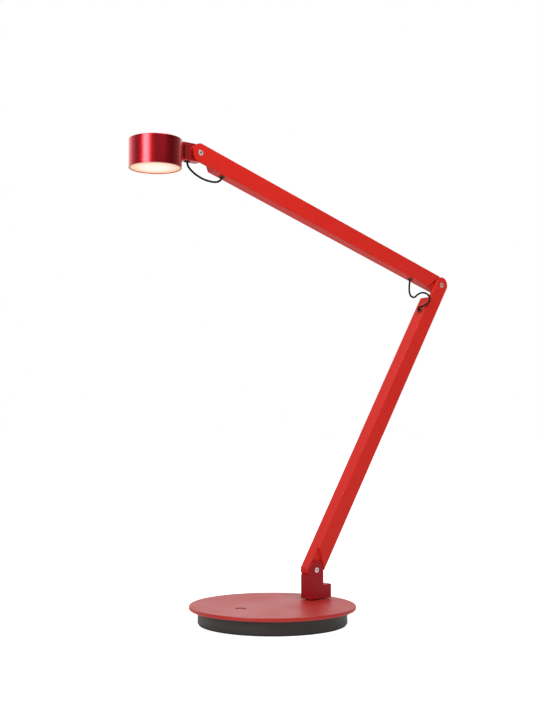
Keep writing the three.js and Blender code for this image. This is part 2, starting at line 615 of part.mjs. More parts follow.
function buildDimmer() {
  const top = BASE_HEIGHT - DIMMER_RECESS;
  const flangeTop = PLATE_BOTTOM - GAP;
  const flangeBottom = flangeTop - DIMMER_FLANGE;
  const cap = DIMMER_RADIUS - HOLE_GAP;
  const switchBottom = BOARD_TOP + GAP;
  const nubBottom = switchBottom + SWITCH_HEIGHT + DIMMER_TRAVEL + GAP / 2;
  const button = turned([
    [0, nubBottom],
    [DIMMER_NUB_RADIUS, nubBottom],
    [DIMMER_NUB_RADIUS, flangeBottom],
    [cap + DIMMER_FLANGE, flangeBottom],
    [cap + DIMMER_FLANGE, flangeTop],
    [cap, flangeTop],
    [cap, top - DIMMER_EDGE],
    [cap - DIMMER_EDGE, top],
    [0, top],
  ], 32);
  place(lamp, 'dimmer_button', button.translate([-DIMMER_REACH, 0, 0]), buttonGrey());

  const side = SWITCH_WIDTH / 2;
  const body = box(-DIMMER_REACH - side, -DIMMER_REACH + side, -side, side, switchBottom,
    switchBottom + SWITCH_BODY_HEIGHT);
  const plunger = rodZ(SWITCH_PLUNGER_RADIUS, switchBottom + SWITCH_BODY_HEIGHT - JOIN,
    switchBottom + SWITCH_HEIGHT, -DIMMER_REACH, 0, 24);
  place(lamp, 'dimmer_switch', body.add(plunger), blackPlastic());

  const board = box(BOARD_EDGE - BOARD_LENGTH, BOARD_EDGE, -BOARD_WIDTH / 2, BOARD_WIDTH / 2,
    BOARD_BOTTOM, BOARD_TOP);
  place(lamp, 'control_board', board, boardGreen());
  [[-1, -1], [1, -1], [1, 1], [-1, 1]].forEach(([sideX, sideY], i) => {
    const x = -DIMMER_REACH + sideX * (BOARD_LENGTH / 2 - SPACER_INSET);
    const y = sideY * (BOARD_WIDTH / 2 - SPACER_INSET);
    const spacer = rodZ(SPACER_RADIUS, BOARD_TOP + GAP, PLATE_BOTTOM - GAP, x, y, 6);
    place(lamp, `board_spacer_${i + 1}`, spacer, nylon());
  });
}

// ---------------------------------------------------------------- post and swivel

function buildPost() {
  const pivot = PIVOT_HEIGHT;
  const post = new THREE.Group();
  post.position.set(POST_REACH, 0, 0);
  lamp.add(post);

  const column = upright(-HALF_DEPTH, HALF_DEPTH, LOWER_NEAR, LOWER_FAR, POST_BOTTOM, pivot + HALF_DEPTH,
    ARM_EDGE_RADIUS);
  const heel = upright(0, HALF_DEPTH + HEEL_LENGTH, LOWER_NEAR, LOWER_FAR, POST_BOTTOM, pivot - HEEL_DROP,
    ARM_EDGE_RADIUS);
  const edge = HALF_DEPTH + PAST;
  const aboveLip = box(-edge, edge, LOWER_EAR_INNER, LOWER_FAR + PAST, pivot - POST_LIP,
    pivot + SECTION_DEPTH);
  const pocket = rodY(POCKET_RADIUS, LOWER_EAR_INNER, LOWER_FAR + PAST, 0, pivot, 40);
  const earRound = rodY(HALF_DEPTH, LOWER_NEAR - 2 * PAST, LOWER_FAR + 2 * PAST, 0, pivot, 40);
  const earCorners = box(-edge, edge, LOWER_NEAR - PAST, LOWER_FAR + PAST, pivot, pivot + SECTION_DEPTH)
    .subtract(earRound);
  const tubeHole = rodZ(SWIVEL_RADIUS + GAP, POST_BOTTOM - PAST, SWIVEL_TOP + GAP, 0, 0);
  const wireHole = rodZ(WIRE_BORE, SWIVEL_TOP, pivot - HALF_DEPTH, 0, 0, 24);
  const screwHole = earHole(0, LOWER_NEAR, LOWER_EAR_INNER).translate([0, 0, pivot]);
  const bracket = column.add(heel).subtract(aboveLip).subtract(pocket).subtract(earCorners)
    .subtract(tubeHole).subtract(wireHole).subtract(screwHole);
  place(post, 'post_bracket', bracket, neckRed());

  const washerBottom = BASE_HEIGHT + GAP;
  const washer = ring(SWIVEL_RADIUS + HOLE_GAP, LOWER_WIDTH / 2 - SWIVEL_WASHER_INSET, washerBottom,
    washerBottom + SWIVEL_WASHER, 32);
  place(post, 'swivel_washer', washer, blackPlastic());

  const bore = SWIVEL_RADIUS + GAP;
  const stopTop = PLATE_BOTTOM - GAP;
  const stopBottom = stopTop - STOP_THICKNESS;
  const springTop = stopBottom - GAP;
  const springBottom = springTop - SPRING_THICKNESS;
  const nutTop = springBottom - GAP;
  const nutBottom = nutTop - SWIVEL_NUT_THICKNESS;
  const tube = ring(SWIVEL_BORE, SWIVEL_RADIUS, nutBottom - SWIVEL_THREAD_END, SWIVEL_TOP, 32);
  place(post, 'swivel_tube', tube, zincSteel());
  const nut = rodZ(SWIVEL_NUT_RADIUS, nutBottom, nutTop, 0, 0, 6)
    .subtract(rodZ(bore, nutBottom - PAST, nutTop + PAST, 0, 0));
  place(post, 'swivel_nut', nut, zincSteel());
  const spring = ring(bore, SWIVEL_NUT_RADIUS, springBottom, springTop, 32);
  place(post, 'swivel_spring_washer', spring, zincSteel());
  const tab = box(-STOP_RADIUS, -STOP_RING_RADIUS + STOP_THICKNESS, -STOP_TAB_WIDTH / 2, STOP_TAB_WIDTH / 2,
    stopBottom, stopTop);
  const stopPlate = ring(bore, STOP_RING_RADIUS, stopBottom, stopTop, 32).add(tab);
  place(post, 'swivel_stop_plate', stopPlate, zincSteel());
  const pin = rodZ(STOP_PIN_RADIUS, stopBottom - GAP, stopTop, STOP_RADIUS - STOP_PIN_INSET, 0, 24);
  place(post, 'swivel_stop_pin', pin, zincSteel());
}

// ---------------------------------------------------------------- arms, neck and head

function tiltGroup(parent, x, z, angle, parentAngle) {
  const group = new THREE.Group();
  group.position.set(x, 0, z);
  group.rotation.y = -radians(angle - parentAngle);
  parent.add(group);
  return group;
}

function buildLowerArm() {
  const group = tiltGroup(lamp, POST_REACH, PIVOT_HEIGHT, LOWER_ANGLE, 0);
  const holeX = LOWER_LENGTH - LOWER_HOLE;
  const wall = HALF_DEPTH - ARM_WALL;
  const boss = rodY(SCREW_RADIUS + SLOT_BOSS_WALL, SLOT_NEAR - PAST, SLOT_FAR + PAST, 0, 0, 32);
  const slot = plateXZ([
    [-SECTION_DEPTH, -SLOT_DOWN],
    [TONGUE_SOLID + PAST, -SLOT_DOWN],
    [TONGUE_SOLID + PAST, SLOT_UP],
    [-SECTION_DEPTH, SLOT_UP],
  ], SLOT_NEAR, SLOT_FAR).subtract(boss);
  const body = armBody({
    length: LOWER_LENGTH,
    near: LOWER_NEAR,
    far: LOWER_FAR,
    tongue: TONGUE_NEAR,
    earInner: LOWER_EAR_INNER,
    cutAngle: LOWER_CUT_ANGLE,
    cutGap: LOWER_CUT_GAP,
    lastHole: holeX,
  }).subtract(slot).subtract(grommetHole(holeX, 0, wall - PAST, HALF_DEPTH + PAST));
  place(group, 'lower_arm', body, satinRed());
  grommet(group, 'lower_arm_grommet', holeX, 0, wall, HALF_DEPTH);
  pivotHardware(group, 'base', LOWER_NEAR, LOWER_EAR_INNER, TONGUE_NEAR, LOWER_FAR);

  const leadEnd = handOver(ELBOW_LOOP[ELBOW_LOOP.length - 1], LOWER_ANGLE) - GAP;
  const turnHeight = leadEnd - LEAD_STRAIGHT - LEAD_BEND;
  const inside = [
    [LOWER_LEAD_START, SLOT_MIDDLE, 0],
    [TONGUE_SOLID + 40, 0, -2],
    [LOWER_LENGTH / 2, 0, -4],
    [holeX - LEAD_BEND - 30, 0, 0],
    [holeX - LEAD_BEND - 4, 0, turnHeight - 0.2],
    ...bend(holeX - LEAD_BEND, turnHeight, 1, 0, 0, 1, 0),
    [holeX, 0, leadEnd],
  ];
  place(group, 'lower_arm_lead', lead(inside), leadBlack());
  return group;
}

function buildUpperArm(lowerArm) {
  const group = tiltGroup(lowerArm, LOWER_LENGTH, 0, UPPER_ANGLE, LOWER_ANGLE);
  const headHole = UPPER_LENGTH - UPPER_HOLE_HEAD;
  const wall = HALF_DEPTH - ARM_WALL;
  const body = armBody({
    length: UPPER_LENGTH,
    near: UPPER_NEAR,
    far: UPPER_FAR,
    tongue: TONGUE_NEAR,
    earInner: UPPER_EAR_INNER,
    cutAngle: UPPER_CUT_ANGLE,
    cutGap: UPPER_CUT_GAP,
    lastHole: headHole,
  });
  const holes = grommetHole(UPPER_HOLE_ELBOW, 0, wall - PAST, HALF_DEPTH + PAST)
    .add(grommetHole(headHole, 0, wall - PAST, HALF_DEPTH + PAST));
  place(group, 'upper_arm', body.subtract(holes), satinRed());
  grommet(group, 'upper_arm_elbow_grommet', UPPER_HOLE_ELBOW, 0, wall, HALF_DEPTH);
  grommet(group, 'upper_arm_head_grommet', headHole, 0, wall, HALF_DEPTH);
  pivotHardware(group, 'elbow', LOWER_NEAR, LOWER_EAR_INNER, TONGUE_NEAR, UPPER_FAR);

  const elbowEnd = handOver(ELBOW_LOOP[0], UPPER_ANGLE) - GAP;
  const headEnd = handOver(HEAD_LOOP[HEAD_LOOP.length - 1], UPPER_ANGLE) - GAP;
  const inside = [
    [UPPER_HOLE_ELBOW, 0, elbowEnd],
    ...bend(UPPER_HOLE_ELBOW, elbowEnd - LEAD_STRAIGHT, 0, -1, 1, 0, 0),
    [UPPER_HOLE_ELBOW + 40, 0, -3],
    [UPPER_LENGTH / 2, 0, -5],
    [headHole - 36, 0, -2],
    ...bend(headHole - LEAD_BEND, headEnd - LEAD_STRAIGHT - LEAD_BEND, 1, 0, 0, 1, 0),
    [headHole, 0, headEnd],
  ];
  place(group, 'upper_arm_lead', lead(inside), leadBlack());
  return group;
}

function buildNeck(upperArm) {
  const group = tiltGroup(upperArm, UPPER_LENGTH, 0, NECK_ANGLE, UPPER_ANGLE);
  const half = NECK_HALF_HEIGHT;
  const corner = box(-2 * half, 0, NECK_NEAR - PAST, UPPER_FAR + PAST, -half - PAST, half + PAST)
    .subtract(rodY(half, NECK_NEAR - 2 * PAST, UPPER_FAR + 2 * PAST, 0, 0, 40));
  const axleHole = rodX(AXLE_RADIUS + GAP, AXLE_START - GAP, NECK_BLOCK_REACH + PAST, NECK_CENTRE, 0, 32);
  const cross = rodX(WIRE_BORE, NECK_HOLE - PAST, AXLE_START, NECK_CENTRE, 0, 24);
  const wireHole = rodZ(WIRE_BORE, -PAST, half, NECK_HOLE, NECK_CENTRE, 24);
  const wall = half - ARM_WALL;
  const grommetSeat = rodZ(GROMMET_FLANGE + GAP, LEAD_BEND, wall, NECK_HOLE, NECK_CENTRE, 24)
    .add(grommetHole(NECK_HOLE, NECK_CENTRE, wall - PAST, half + PAST));
  const block = bar(-half, NECK_BLOCK_REACH, NECK_NEAR, UPPER_FAR, -half, half, NECK_EDGE_RADIUS)
    .subtract(corner).subtract(axleHole).subtract(cross).subtract(wireHole)
    .subtract(grommetSeat).subtract(tongueHole(NECK_NEAR, UPPER_FAR));
  place(group, 'neck_block', block, neckRed());
  grommet(group, 'neck_grommet', NECK_HOLE, NECK_CENTRE, wall, half);
  pivotHardware(group, 'head', UPPER_NEAR, UPPER_EAR_INNER, NECK_NEAR, UPPER_FAR);

  const bossStart = NECK_BLOCK_REACH + ROLL_GAP;
  const drumSide = HEAD_REACH - HEAD_RADIUS;
  const saddle = rodZ(HEAD_RADIUS + GAP, -SECTION_DEPTH, SECTION_DEPTH, HEAD_REACH, NECK_CENTRE, 64);
  const bossHole = rodX(AXLE_RADIUS + GAP, bossStart - PAST, HEAD_REACH, NECK_CENTRE, 0, 32);
  const boss = bar(bossStart, drumSide + HALF_DEPTH / 2, NECK_NEAR, UPPER_FAR, -half, half, NECK_EDGE_RADIUS);
  place(group, 'head_boss', boss.subtract(saddle).subtract(bossHole), neckRed());

  const washerStart = drumSide + HEAD_WALL + ROLL_WASHER_GAP;
  const nutStart = washerStart + SPRING_THICKNESS + GAP;
  const axleEnd = nutStart + AXLE_END;
  const nutRadius = HEAD_ABOVE_NECK - HEAD_WALL - 2 * GAP;
  const axle = rodX(AXLE_RADIUS, AXLE_START, axleEnd, NECK_CENTRE, 0, 32);
  const collar = rodX(AXLE_COLLAR_RADIUS, NECK_BLOCK_REACH + GAP, bossStart - GAP, NECK_CENTRE, 0, 32);
  const axleBore = rodX(SWIVEL_BORE, AXLE_START - PAST, axleEnd + PAST, NECK_CENTRE, 0, 24);
  place(group, 'roll_axle', axle.add(collar).subtract(axleBore), zincSteel());
  const rollHole = rodX(AXLE_RADIUS + GAP, washerStart - PAST, axleEnd + PAST, NECK_CENTRE, 0, 32);
  const springWasher = rodX(nutRadius, washerStart, washerStart + SPRING_THICKNESS, NECK_CENTRE, 0, 32);
  place(group, 'roll_spring_washer', springWasher.subtract(rollHole), zincSteel());
  const rollNut = rodX(nutRadius, nutStart, nutStart + ROLL_NUT_THICKNESS, NECK_CENTRE, 0, 6);
  place(group, 'roll_nut', rollNut.subtract(rollHole), zincSteel());
  return group;
}

function buildHead(neck) {
  const head = new THREE.Group();
  head.position.set(HEAD_REACH, NECK_CENTRE, 0);
  head.rotation.y = Math.PI;
  neck.add(head);

  const shell = turned([
    [0, DRUM_TOP],
    [HEAD_RADIUS - HEAD_CHAMFER, DRUM_TOP],
    [HEAD_RADIUS, DRUM_TOP - HEAD_CHAMFER],
    [HEAD_RADIUS, DRUM_BOTTOM + HEAD_LOWER_CHAMFER],
    [HEAD_RADIUS - HEAD_LOWER_CHAMFER, DRUM_BOTTOM],
    [DRUM_INSIDE, DRUM_BOTTOM],
    [DRUM_INSIDE, DRUM_TOP - HEAD_WALL],
    [0, DRUM_TOP - HEAD_WALL],
  ], 64);
  const sideHole = rodX(AXLE_RADIUS + GAP, 0, HEAD_RADIUS + PAST, 0, 0, 32);
  place(head, 'head_shell', shell.subtract(sideHole), anodisedRed());

  const fit = DRUM_INSIDE - HOLE_GAP;
  const diffuserBottom = DRUM_BOTTOM + DIFFUSER_RECESS;
  const diffuserTop = diffuserBottom + DIFFUSER_THICKNESS;
  place(head, 'diffuser', rodZ(fit, diffuserBottom, diffuserTop, 0, 0, 64), diffuserWhite());

  const sinkTop = SINK_BOTTOM + SINK_THICKNESS;
  const finTop = DRUM_TOP - HEAD_WALL - FIN_GAP;
  const finStart = FIN_FAR_GAP - DRUM_INSIDE;
  let sink = rodZ(fit, SINK_BOTTOM, sinkTop, 0, 0, 48);
  for (let i = 0; i < FIN_COUNT; i += 1) {
    const fromMiddle = i - (FIN_COUNT - 1) / 2;
    const y = fromMiddle * FIN_PITCH;
    const shorter = Math.abs(fromMiddle) * FIN_THICKNESS;
    sink = sink.add(box(finStart + shorter, FIN_END, y - FIN_THICKNESS / 2, y + FIN_THICKNESS / 2,
      sinkTop - JOIN, finTop));
  }
  sink = sink.subtract(rodZ(SWIVEL_BORE, SINK_BOTTOM - PAST, sinkTop + PAST, HEAD_LEAD_REACH, 0, 24));
  place(head, 'heat_sink', sink, bareAluminium());
  const boardTop = SINK_BOTTOM - GAP;
  const boardBottom = boardTop - BOARD_THICKNESS;
  place(head, 'led_board', rodZ(LED_BOARD_RADIUS, boardBottom, boardTop, 0, 0, 32), whitePlastic());
  const chipTop = boardBottom - GAP;
  const chip = rodZ(LED_CHIP_RADIUS, chipTop - LED_CHIP_THICKNESS, chipTop, 0, 0, 32);
  place(head, 'led_chip', chip, ledYellow());
  const mouth = LED_CHIP_RADIUS + REFLECTOR_MOUTH;
  const reflectorTop = chipTop - GAP;
  const reflectorBottom = diffuserTop + GAP;
  const reflector = turned([
    [mouth, reflectorTop],
    [fit - REFLECTOR_WALL, reflectorBottom],
    [fit, reflectorBottom],
    [fit, reflectorBottom + REFLECTOR_WALL],
    [mouth + REFLECTOR_MOUTH, reflectorTop],
    [mouth, reflectorTop],
  ], 40);
  place(head, 'reflector', reflector, whitePlastic());
}

// ---------------------------------------------------------------- leads

function buildInletLead() {
  const inletFace = HOUSING_RADIUS - INLET_SETBACK - INLET_DEPTH - GAP;
  const onBoard = BOARD_TOP + GAP + LEAD_RADIUS;
  const rising = [INLET_MIDDLE + 1, INLET_MIDDLE + 3];
  const run = [
    [inletFace, 2.5, INLET_MIDDLE],
    [inletFace - 2.7, 3, INLET_MIDDLE + 0.2],
    ...INLET_RUN_PAST_POST.map(([x, y], i) => [POST_REACH + x, y, rising[i] ?? LEAD_RUN_HEIGHT]),
    ...INLET_RUN_TO_BOARD.map(([x, y]) => [BOARD_EDGE + x, y, LEAD_RUN_HEIGHT]),
    [BOARD_EDGE + 5, 10, LEAD_RUN_HEIGHT - 0.6],
    [BOARD_EDGE - 2, 10, onBoard + 0.8],
    [BOARD_EDGE - 8, 10, onBoard],
  ];
  place(lamp, 'inlet_lead', lead(run), leadBlack());
}

function buildBaseLead() {
  const dropX = POST_REACH - 2 * LEAD_BEND;
  const turnZ = BALLAST_BOTTOM + LEAD_RADIUS + LEAD_BEND;
  const onBoard = BOARD_TOP + GAP + LEAD_RADIUS;
  const toPost = [
    [BOARD_EDGE - 8, 0, onBoard],
    [BOARD_EDGE - 2, 0, onBoard + 0.8],
    [BOARD_EDGE + 5, 0, LEAD_RUN_HEIGHT - 0.6],
    [BOARD_EDGE + 14, 0, LEAD_RUN_HEIGHT],
    [dropX - LEAD_BEND - 10, 0, LEAD_RUN_HEIGHT],
    [dropX - LEAD_BEND, 0, LEAD_RUN_HEIGHT - 0.3],
    [dropX - 1.2, 0, LEAD_RUN_HEIGHT - 3.2],
    ...bend(dropX, turnZ, 0, -1, 1, 0, 0),
    ...bend(POST_REACH - LEAD_BEND, turnZ - LEAD_BEND, 1, 0, 0, 1, 0).slice(1),
    [POST_REACH, 0, BASE_HEIGHT],
    [POST_REACH, 0, BASE_LEAD_END],
  ];
  place(lamp, 'base_lead', lead(toPost), leadBlack());
}

// The lead from the post's bore, behind the screw's boss and on into the lower arm's channel.
function buildBaseJumper() {
  const tilt = radians(LOWER_ANGLE);
  const round = SCREW_RADIUS + SLOT_BOSS_WALL + LEAD_RADIUS + 0.5;
  const turnPoint = (along, across) => [
    POST_REACH + along * Math.cos(tilt) - across * Math.sin(tilt),
    SLOT_MIDDLE,
    PIVOT_HEIGHT + along * Math.sin(tilt) + across * Math.cos(tilt),
  ];
  const pastPivot = [
    [POST_REACH, 0, BASE_LEAD_END + GAP],
    [POST_REACH, 0.1, PIVOT_HEIGHT - POCKET_RADIUS],
    turnPoint(-round, -round),
    turnPoint(0, -round),
    turnPoint(round, -round * 0.8),
    turnPoint(TONGUE_SOLID * 0.6, -1),
    turnPoint(LOWER_LEAD_START - GAP, 0),
  ];
  place(lamp, 'base_jumper_lead', lead(pastPivot), leadBlack());
}

function buildNeckLead(neck) {
  const upX = HEAD_REACH - HEAD_LEAD_REACH;
  const intoHead = [
    [NECK_HOLE, NECK_CENTRE, -HEAD_LOOP[0][2] - GAP],
    [NECK_HOLE, NECK_CENTRE, LEAD_BEND + LEAD_STRAIGHT],
    ...bend(NECK_HOLE, LEAD_BEND, 0, -1, 1, 0, NECK_CENTRE),
    [upX - LEAD_BEND - 6, NECK_CENTRE, 0],
    ...bend(upX - LEAD_BEND, 0, 1, 0, 0, 1, NECK_CENTRE),
    [upX, NECK_CENTRE, -SINK_BOTTOM],
  ];
  place(neck, 'neck_lead', lead(intoHead), leadBlack());
}

function buildLoops() {
  const tilt = radians(LOWER_ANGLE);
  const rise = radians(UPPER_ANGLE);
  const elbow = [
    POST_REACH + LOWER_LENGTH * Math.cos(tilt),
    0,
    PIVOT_HEIGHT + LOWER_LENGTH * Math.sin(tilt),
  ];
  const headPivot = [
    elbow[0] + UPPER_LENGTH * Math.cos(rise),
    0,
    elbow[2] + UPPER_LENGTH * Math.sin(rise),
  ];
  const from = (pivot, points) => points.map((point) => point.map((value, axis) => value + pivot[axis]));
  place(lamp, 'elbow_jumper_lead', lead(from(elbow, ELBOW_LOOP)), leadBlack());
  place(lamp, 'head_jumper_lead', lead(from(headPivot, HEAD_LOOP)), leadBlack());
}

buildBase();
buildDimmer();
buildPost();
const lowerArm = buildLowerArm();
const upperArm = buildUpperArm(lowerArm);
const neck = buildNeck(upperArm);
buildHead(neck);
buildInletLead();
buildBaseLead();
buildBaseJumper();
buildNeckLead(neck);
buildLoops();

export default lamp;
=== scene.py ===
"""Architect desk lamp: its looks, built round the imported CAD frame.

The pieces that show are made again as fine meshes, on the places and sizes that the frame gives. The pieces
that are hidden inside keep their CAD shape and get a finish. Every length is in metres.
"""

import json
import logging
import math
from dataclasses import dataclass, field
from enum import Enum
from typing import Callable, Iterable

import bmesh
import bpy
from mathutils import Matrix, Vector


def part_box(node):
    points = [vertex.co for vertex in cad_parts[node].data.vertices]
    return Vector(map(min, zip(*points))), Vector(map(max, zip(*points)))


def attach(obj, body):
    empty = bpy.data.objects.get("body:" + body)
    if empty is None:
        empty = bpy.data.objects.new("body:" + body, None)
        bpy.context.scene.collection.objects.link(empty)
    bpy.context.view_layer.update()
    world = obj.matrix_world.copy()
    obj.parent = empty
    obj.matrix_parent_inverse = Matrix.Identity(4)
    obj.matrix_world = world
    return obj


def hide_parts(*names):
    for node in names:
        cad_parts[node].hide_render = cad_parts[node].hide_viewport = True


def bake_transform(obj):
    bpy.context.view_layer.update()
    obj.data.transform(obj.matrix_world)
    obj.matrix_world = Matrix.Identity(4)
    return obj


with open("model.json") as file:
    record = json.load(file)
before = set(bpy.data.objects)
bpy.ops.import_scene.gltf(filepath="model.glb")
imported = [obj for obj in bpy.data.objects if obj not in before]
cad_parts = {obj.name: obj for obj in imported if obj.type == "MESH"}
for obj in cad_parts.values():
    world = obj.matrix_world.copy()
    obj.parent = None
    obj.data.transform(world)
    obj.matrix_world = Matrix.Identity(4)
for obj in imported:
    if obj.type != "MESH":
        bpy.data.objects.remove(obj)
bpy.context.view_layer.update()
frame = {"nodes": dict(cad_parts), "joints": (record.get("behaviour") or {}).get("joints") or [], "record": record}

LOG = logging.getLogger("desk_lamp")
MM = 0.001
EASED_ANGLE = math.radians(35)  # outer edges sharper than this are rounded
CREASE_ANGLE = math.radians(50)  # edges sharper than this show as a crease
FLAT_ANGLE = math.radians(0.4)  # faces closer to one plane than this are one face
CAD_SEAM = 0.002 * MM  # corners of a CAD mesh closer than this are one corner
TUBE_SEAM = 0.001 * MM  # corners of a tube closer than this are one corner
WORN = "worn_edge"  # attribute: 1 on the eased edges of a piece, 0 elsewhere
RECESS_SHADE = "painted_recess_shade"  # attribute: 1 where a recess gets painted shade, a near-black that stands for its shadow, 0 elsewhere

Colour = tuple[float, float, float]
Point = tuple[float, float, float]
WHITE: Colour = (1.0, 1.0, 1.0)
# the near-black of the painted shade in recesses such as screw sockets
RECESS_SHADE_COLOUR: Colour = (0.004, 0.004, 0.004)

NOISE_RANGE = (0.3, 0.7)  # where nearly all values of a noise lie
NOISE_MIDDLE = 0.5
FINE_NOISE_SCALE = 3.7  # how much finer the second noise of a grain is than its first
FINE_NOISE_SHARE = 0.35  # how high that second noise stands
RUB_SCALE = 180.0  # patches of rubbed edge in a metre
RUB_RANGE = (0.35, 0.7)  # the noise where a patch is rubbed least, and most
LEAST_RUB = 0.35  # the rub there, where 1 is the most
BUMP_STRENGTH = 0.6


class Grain(Enum):
    """How the fine relief of a finish runs."""

    PEEL = "peel"  # the soft waviness of powder coat
    FINE = "fine"  # the even tooth of moulded plastic or anodised metal
    TURNED = "turned"  # rings round the Z axis, as a lathe leaves them


# ---------------------------------------------------------------- what the frame says


def joint_centre(name: str) -> Vector:
    """Gives where a hinge of the frame turns.

    Args:
        name: The joint's name in the record.

    Returns:
        The point that the joint turns about, at rest.
    """
    found = next(j for j in frame["joints"] if j["name"] == name)
    return Vector(found["pos_m"])


def body_of(node: str) -> str:
    """Gives the CAD body that a node belongs to.

    Args:
        node: The node's name.

    Returns:
        The body's name.
    """
    bodies = frame["record"]["behaviour"]["bodies"]
    return next(body for body, nodes in bodies.items() if node in nodes)


def slot_of(node: str) -> str:
    """Gives the record's material slot of a node.

    Args:
        node: The node's name.

    Returns:
        The slot's name.
    """
    rows = frame["record"]["subparts"]
    return next(row["material_slot"] for row in rows if row["node"] == node)


# ---------------------------------------------------------------- node trees


class Graph:
    """A node tree, with short ways to add nodes and join them."""

    def __init__(self, tree: bpy.types.NodeTree) -> None:
        """Takes the tree and empties it."""
        self.tree = tree
        tree.nodes.clear()

    def add(self, kind: str, settings: dict[str, object] | None = None, **inputs: object) -> bpy.types.Node:
        """Adds a node and sets or links its inputs.

        Args:
            kind: The node's type, without the ShaderNode in front.
            settings: The node's own properties.
            inputs: Values or sockets by input name, with _ for a space. The names i0, i1 and so on stand for
                inputs by number.

        Returns:
            The new node.
        """
        node = self.tree.nodes.new(kind if kind.startswith("NodeGroup") else "ShaderNode" + kind)
        for key, value in (settings or {}).items():
            setattr(node, key, value)
        for key, value in inputs.items():
            is_number = key[0] == "i" and key[1:].isdigit()
            socket = node.inputs[int(key[1:])] if is_number else node.inputs[key.replace("_", " ")]
            self.feed(socket, value)
        return node

    def feed(self, socket: bpy.types.NodeSocket, value: object) -> None:
        """Links a socket to another one, or sets its value.

        Args:
            socket: The input.
            value: The socket that feeds it, or its value. A colour has three numbers.
        """
        if isinstance(value, bpy.types.NodeSocket):
            self.tree.links.new(value, socket)
        elif isinstance(value, tuple) and len(value) == 3 and socket.type == "RGBA":
            socket.default_value = (*value, 1.0)
        else:
            socket.default_value = value

    def math(self, operation: str, a: object, b: object = 0.0) -> bpy.types.NodeSocket:
        """Adds a Math node and gives its result."""
        return self.add("Math", {"operation": operation}, i0=a, i1=b).outputs[0]

    def mix(self, share: object, a: object, b: object) -> bpy.types.NodeSocket:
        """Mixes two colours and gives the result."""
        return self.add("Mix", {"data_type": "RGBA"}, i0=share, i6=a, i7=b).outputs[2]

    def spread(
        self, value: object, source: tuple[float, float], low: object, high: object
    ) -> bpy.types.NodeSocket:
        """Maps a value from one range to another, and stops it at the ends of that range.

        Args:
            value: The value.
            source: The two values that become low and high.
            low: The start of the new range.
            high: The end of the new range.

        Returns:
            The result.
        """
        node = self.add(
            "MapRange", Value=value, From_Min=source[0], From_Max=source[1], To_Min=low, To_Max=high
        )
        return node.outputs[0]


@dataclass(frozen=True)
class Effect:
    """A shader node group that several finishes share, with named inputs and outputs.

    Attributes:
        name: The group's name.
        inputs: Each input's name, socket kind and first value.
        outputs: Each output's name and socket kind.
        wire: A function that joins the group's inside, given its graph, its inputs and its outputs.
    """

    name: str
    inputs: tuple[tuple[str, str, object], ...]
    outputs: tuple[tuple[str, str], ...]
    wire: Callable[[Graph, bpy.types.Node, bpy.types.Node], None]

    def tree(self) -> bpy.types.NodeTree:
        """Gives the group's tree, made on first use.

        Returns:
            The tree.
        """
        known = bpy.data.node_groups.get(self.name)
        if known is not None:
            return known
        tree = bpy.data.node_groups.new(self.name, "ShaderNodeTree")
        for name, kind, value in self.inputs:
            socket = tree.interface.new_socket(name, in_out="INPUT", socket_type="NodeSocket" + kind)
            if kind != "Vector":
                socket.default_value = value
        for name, kind in self.outputs:
            tree.interface.new_socket(name, in_out="OUTPUT", socket_type="NodeSocket" + kind)
        graph = Graph(tree)
        self.wire(graph, graph.add("NodeGroupInput"), graph.add("NodeGroupOutput"))
        return tree

    def place(self, graph: Graph, **inputs: object) -> bpy.types.Node:
        """Places the group in a material's graph.

        Args:
            graph: The material's graph.
            inputs: Values or sockets by input name, with _ for a space.

        Returns:
            The group's node.
        """
        return graph.add("Group", {"node_tree": self.tree()}, **inputs)


def wire_grain(graph: Graph, given: bpy.types.Node, result: bpy.types.Node) -> None:
    """Joins the inside of the grain effect: two sizes of noise as one height.

    Args:
        graph: The group's graph.
        given: The node with its inputs.
        result: The node for its outputs.
    """
    coarse = graph.add(
        "TexNoise", Vector=given.outputs["Vector"], Scale=given.outputs["Scale"], Detail=2.0, Roughness=0.5
    )
    finer = graph.math("MULTIPLY", given.outputs["Scale"], FINE_NOISE_SCALE)
    fine = graph.add("TexNoise", Vector=given.outputs["Vector"], Scale=finer, Detail=3.0, Roughness=0.6)
    height = graph.math("MULTIPLY", fine.outputs[0], FINE_NOISE_SHARE)
    graph.feed(result.inputs["Height"], graph.math("ADD", coarse.outputs[0], height))
    graph.feed(result.inputs["Mask"], coarse.outputs[0])


def wire_turning(graph: Graph, given: bpy.types.Node, result: bpy.types.Node) -> None:
    """Joins the inside of the turning effect: noise stretched into rings round the Z axis.

    Args:
        graph: The group's graph.
        given: The node with its inputs.
        result: The node for its outputs.
    """
    parts = graph.add("SeparateXYZ", Vector=given.outputs["Vector"])
    flat = graph.add("CombineXYZ", X=parts.outputs["X"], Y=parts.outputs["Y"], Z=0.0)
    radius = graph.add("VectorMath", {"operation": "LENGTH"}, i0=flat.outputs[0]).outputs["Value"]
    along = graph.math("ADD", radius, parts.outputs["Z"])
    lines = graph.add(
        "TexNoise", {"noise_dimensions": "1D"}, W=along, Scale=given.outputs["Scale"], Detail=2.0,
        Roughness=0.7,
    )
    graph.feed(result.inputs["Height"], lines.outputs[0])
    graph.feed(result.inputs["Mask"], lines.outputs[0])


